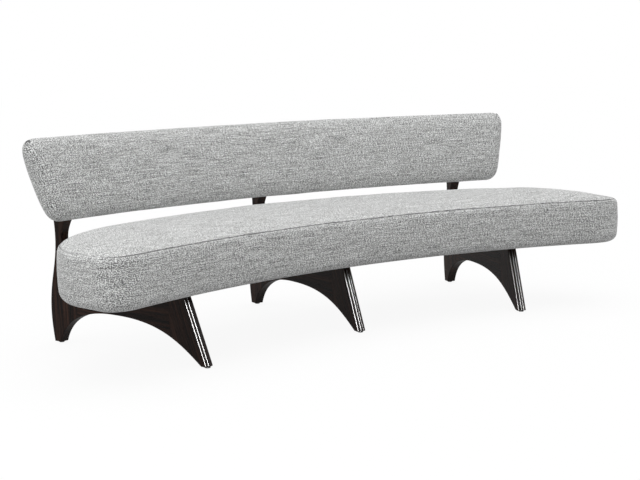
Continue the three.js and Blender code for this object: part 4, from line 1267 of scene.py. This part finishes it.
SLOT_FINISH = {
    "dark_wood": dark_wood,
    "grey_fabric": weave,
    "box_timber": plain_finish("box timber", (214, 180, 134), (176, 138, 92), (8, 60, 60), 0.7),
    "plywood": plain_finish("plywood", (222, 192, 146), (190, 152, 104), (6, 45, 300), 0.7),
    "beech": plain_finish("beech rod", (205, 164, 120), (176, 132, 88), (40, 40, 40), 0.6),
    "foam": plain_finish("foam", (234, 224, 188), (208, 196, 156), (160, 160, 160), 0.95, bump=0.001),
    "dust_cloth": plain_finish("dust cloth", (40, 40, 42), (20, 20, 22), (420, 420, 420), 0.95, bump=0.0005),
    "steel": plain_finish("plated steel", (196, 198, 202), (150, 152, 156), (60, 60, 60), 0.3, metallic=1.0),
    "black_plastic": plain_finish("black plastic", (30, 30, 31), (18, 18, 19), (90, 90, 90), 0.45),
}
print(len(SLOT_FINISH), "finishes")

# %% [markdown]
# ## Dress and sort
# Every node of the frame gets the finish of its material, because the inner ones are kept as they
# are. Each piece made here takes the finish of its material, is put on the one body and hides the
# nodes it stands in place of.

# %% Dress every piece and every node
def dress(thing, finish):
    """The finish becomes the thing's only material."""
    thing.data.materials.clear()
    thing.data.materials.append(finish.material)


def stands_for(piece, slot, *nodes):
    """A piece in its finish, on the one body, in place of its nodes."""
    dress(piece, SLOT_FINISH[slot])
    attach(piece, "root")
    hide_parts(*nodes)


slot_of = {part["node"]: part["material_slot"] for part in frame["record"]["subparts"]}
for name, thing in frame["nodes"].items():
    dress(thing, SLOT_FINISH[slot_of[name]])
stands_for(seat, "grey_fabric", "seat_border_cover", "seat_top_cover")
stands_for(backrest, "grey_fabric", "back_front_cover", "back_rear_cover")
for piece, node in wooden:
    stands_for(piece, "dark_wood", node)
for piece, node, slot in hardware:
    stands_for(piece, slot, node)
stands_for(dust_sheet, "dust_cloth", "seat_dust_cover")
print(len(slot_of), "nodes dressed")

# %% [markdown]
# ## Camera
# The camera stands where the photograph was taken from, at the height of a person's chest and
# to the front left. A picture that was cropped off centre is matched by a small shift.

# %% Camera of the photograph
CAMERA_PLACE = np.array([-2.7408873, -1.3845022, 1.0250546]) + FAN_POINT
YAW, PITCH, ROLL = 0.6374, -0.1512, -0.0144
FOCAL_PIXELS, CENTRE_X, CENTRE_Y = 1304.5561, 361.3921, 244.1969
PICTURE = (640, 480)
SENSOR = 36.0


def camera_turn(yaw, pitch, roll):
    """Right, up and backward vectors of a camera that looks along yaw, tilted by pitch."""
    forward = np.array([math.sin(yaw) * math.cos(pitch), math.cos(yaw) * math.cos(pitch), math.sin(pitch)])
    level = np.array([math.cos(yaw), -math.sin(yaw), 0.0])
    rising = np.cross(level, forward)
    right = level * math.cos(roll) + rising * math.sin(roll)
    up = rising * math.cos(roll) - level * math.sin(roll)
    return Matrix(np.stack([right, up, -forward], 1).tolist())


lens = bpy.data.cameras.new("camera")
lens.sensor_width = SENSOR
lens.lens = FOCAL_PIXELS / PICTURE[0] * SENSOR
lens.shift_x = (PICTURE[0] / 2 - CENTRE_X) / PICTURE[0]
lens.shift_y = (CENTRE_Y - PICTURE[1] / 2) / PICTURE[0]
lens.clip_end = 60
camera = bpy.data.objects.new("camera", lens)
camera.matrix_world = Matrix.Translation(CAMERA_PLACE.tolist()) @ camera_turn(YAW, PITCH, ROLL).to_4x4()
bpy.context.scene.collection.objects.link(camera)
bpy.context.scene.camera = camera
print("lens", round(lens.lens, 2), "mm, shift", round(lens.shift_x, 4), round(lens.shift_y, 4))

# %% [markdown]
# ## Studio
# The photograph was taken on white, and light came from all round: most from above, a little
# more from the left. A wide soft sun over the sofa and an even sky make that light. The camera,
# and what the lacquer mirrors, see the floor and the sky as white. The floor's white is mostly a
# glow and for a smaller part a pale matte surface, so a faint shadow stays.

# %% Floor
FLOOR_GLOW = 0.92
FLOOR_GREY = (0.42, 0.42, 0.42, 1)
FLOOR_PALE = (0.94, 0.94, 0.94, 1)


def seen_directly(tree):
    """1 for what the camera sees, straight or through a reflection or glass, else 0."""
    path = tree.nodes.new("ShaderNodeLightPath")
    either = path.outputs["Is Camera Ray"]
    for ray in ("Is Glossy Ray", "Is Transmission Ray"):
        larger = tree.nodes.new("ShaderNodeMath")
        larger.operation = "MAXIMUM"
        tree.links.new(either, larger.inputs[0])
        tree.links.new(path.outputs[ray], larger.inputs[1])
        either = larger.outputs[0]
    return either


def floor_piece(half=20.0):
    """One large square on the ground."""
    mesh = bpy.data.meshes.new("floor")
    corners = [(-half, -half, 0), (half, -half, 0), (half, half, 0), (-half, half, 0)]
    mesh.from_pydata(corners, [], [(0, 1, 2, 3)])
    return new_object("floor", mesh)


def floor_material():
    """Matte grey for the light it sends on. For the camera it is paler, under a white glow."""
    finish = Finish("white floor", Roughness=1.0, Specular_IOR_Level=0.0)
    tree = finish.tree
    direct = Wire(finish, seen_directly(tree))
    finish.feed("Base Color", finish.mix(direct, FLOOR_GREY, FLOOR_PALE))
    glow = finish.node("ShaderNodeEmission", {}, {"Strength": 1.0})
    matte = Wire(finish, finish.shader.outputs[0])
    mixed = finish.node("ShaderNodeMixShader", {}, {0: direct * FLOOR_GLOW, 1: matte, 2: glow})
    tree.links.new(mixed.socket, tree.nodes["Material Output"].inputs["Surface"])
    return finish


floor = floor_piece()
dress(floor, floor_material())

# %% [markdown]
# The sky does the same as the floor: it lights everything with less than it shows, so that the
# background is white and the cushions keep their shade.

# %% World
SKY_LIGHT = 0.62
world = bpy.data.worlds.new("studio")
bpy.context.scene.world = world
world.use_nodes = True
sky = world.node_tree
ambient = sky.nodes["Background"]
ambient.inputs["Color"].default_value = (1, 1, 1, 1)
ambient.inputs["Strength"].default_value = SKY_LIGHT
white = sky.nodes.new("ShaderNodeBackground")
white.inputs["Color"].default_value = (1, 1, 1, 1)
white.inputs["Strength"].default_value = 1.0
chooser = sky.nodes.new("ShaderNodeMixShader")
sky.links.new(seen_directly(sky), chooser.inputs[0])
sky.links.new(ambient.outputs[0], chooser.inputs[1])
sky.links.new(white.outputs[0], chooser.inputs[2])
sky.links.new(chooser.outputs[0], sky.nodes["World Output"].inputs["Surface"])

# %% [markdown]
# Three lamps do the rest. The sun is as wide as a bright sky and stands straight above. A softbox
# on the left lifts that end of the cushions. A card in front of the sofa's left exists only as a
# reflection, and draws the bright lines on the reeds.

# %% Lamps
SUN_STRENGTH = 1.38
SUN_WIDTH = math.radians(70)


def aim(lamp, place, target):
    """A lamp at its place, turned to its target and not seen by the camera."""
    direction = Vector(target) - Vector(place)
    lamp.matrix_world = Matrix.Translation(place) @ direction.to_track_quat("-Z", "Y").to_matrix().to_4x4()
    lamp.visible_camera = False
    bpy.context.scene.collection.objects.link(lamp)


def softbox(name, place, target, size, radiance):
    """A rectangle of an even radiance: power is radiance times area times pi."""
    light = bpy.data.lights.new(name, "AREA")
    light.shape = "RECTANGLE"
    light.size, light.size_y = size
    light.energy = radiance * size[0] * size[1] * math.pi
    lamp = bpy.data.objects.new(name, light)
    aim(lamp, place, target)
    return lamp


sun = bpy.data.lights.new("soft sky", "SUN")
sun.energy = SUN_STRENGTH
sun.angle = SUN_WIDTH
aim(bpy.data.objects.new("soft_sky", sun), (0.0, 0.0, 3.4), (0.0, 0.0, 0.0))

left_box = softbox("left_box", (-3.6, -0.6, 1.5), target=(-0.8, 0.0, 0.4), size=(2.4, 2.0), radiance=0.72)
left_box.visible_glossy = False
card = softbox("reed_card", (-3.1, -3.2, 1.6), target=(0.0, -0.3, 1.2), size=(1.3, 1.8), radiance=190.0)
card.visible_diffuse = False

# %% [markdown]
# ## Picture
# Colours are shown as they are, without a film look.

# %% Picture settings
bpy.context.scene.view_settings.view_transform = "Standard"
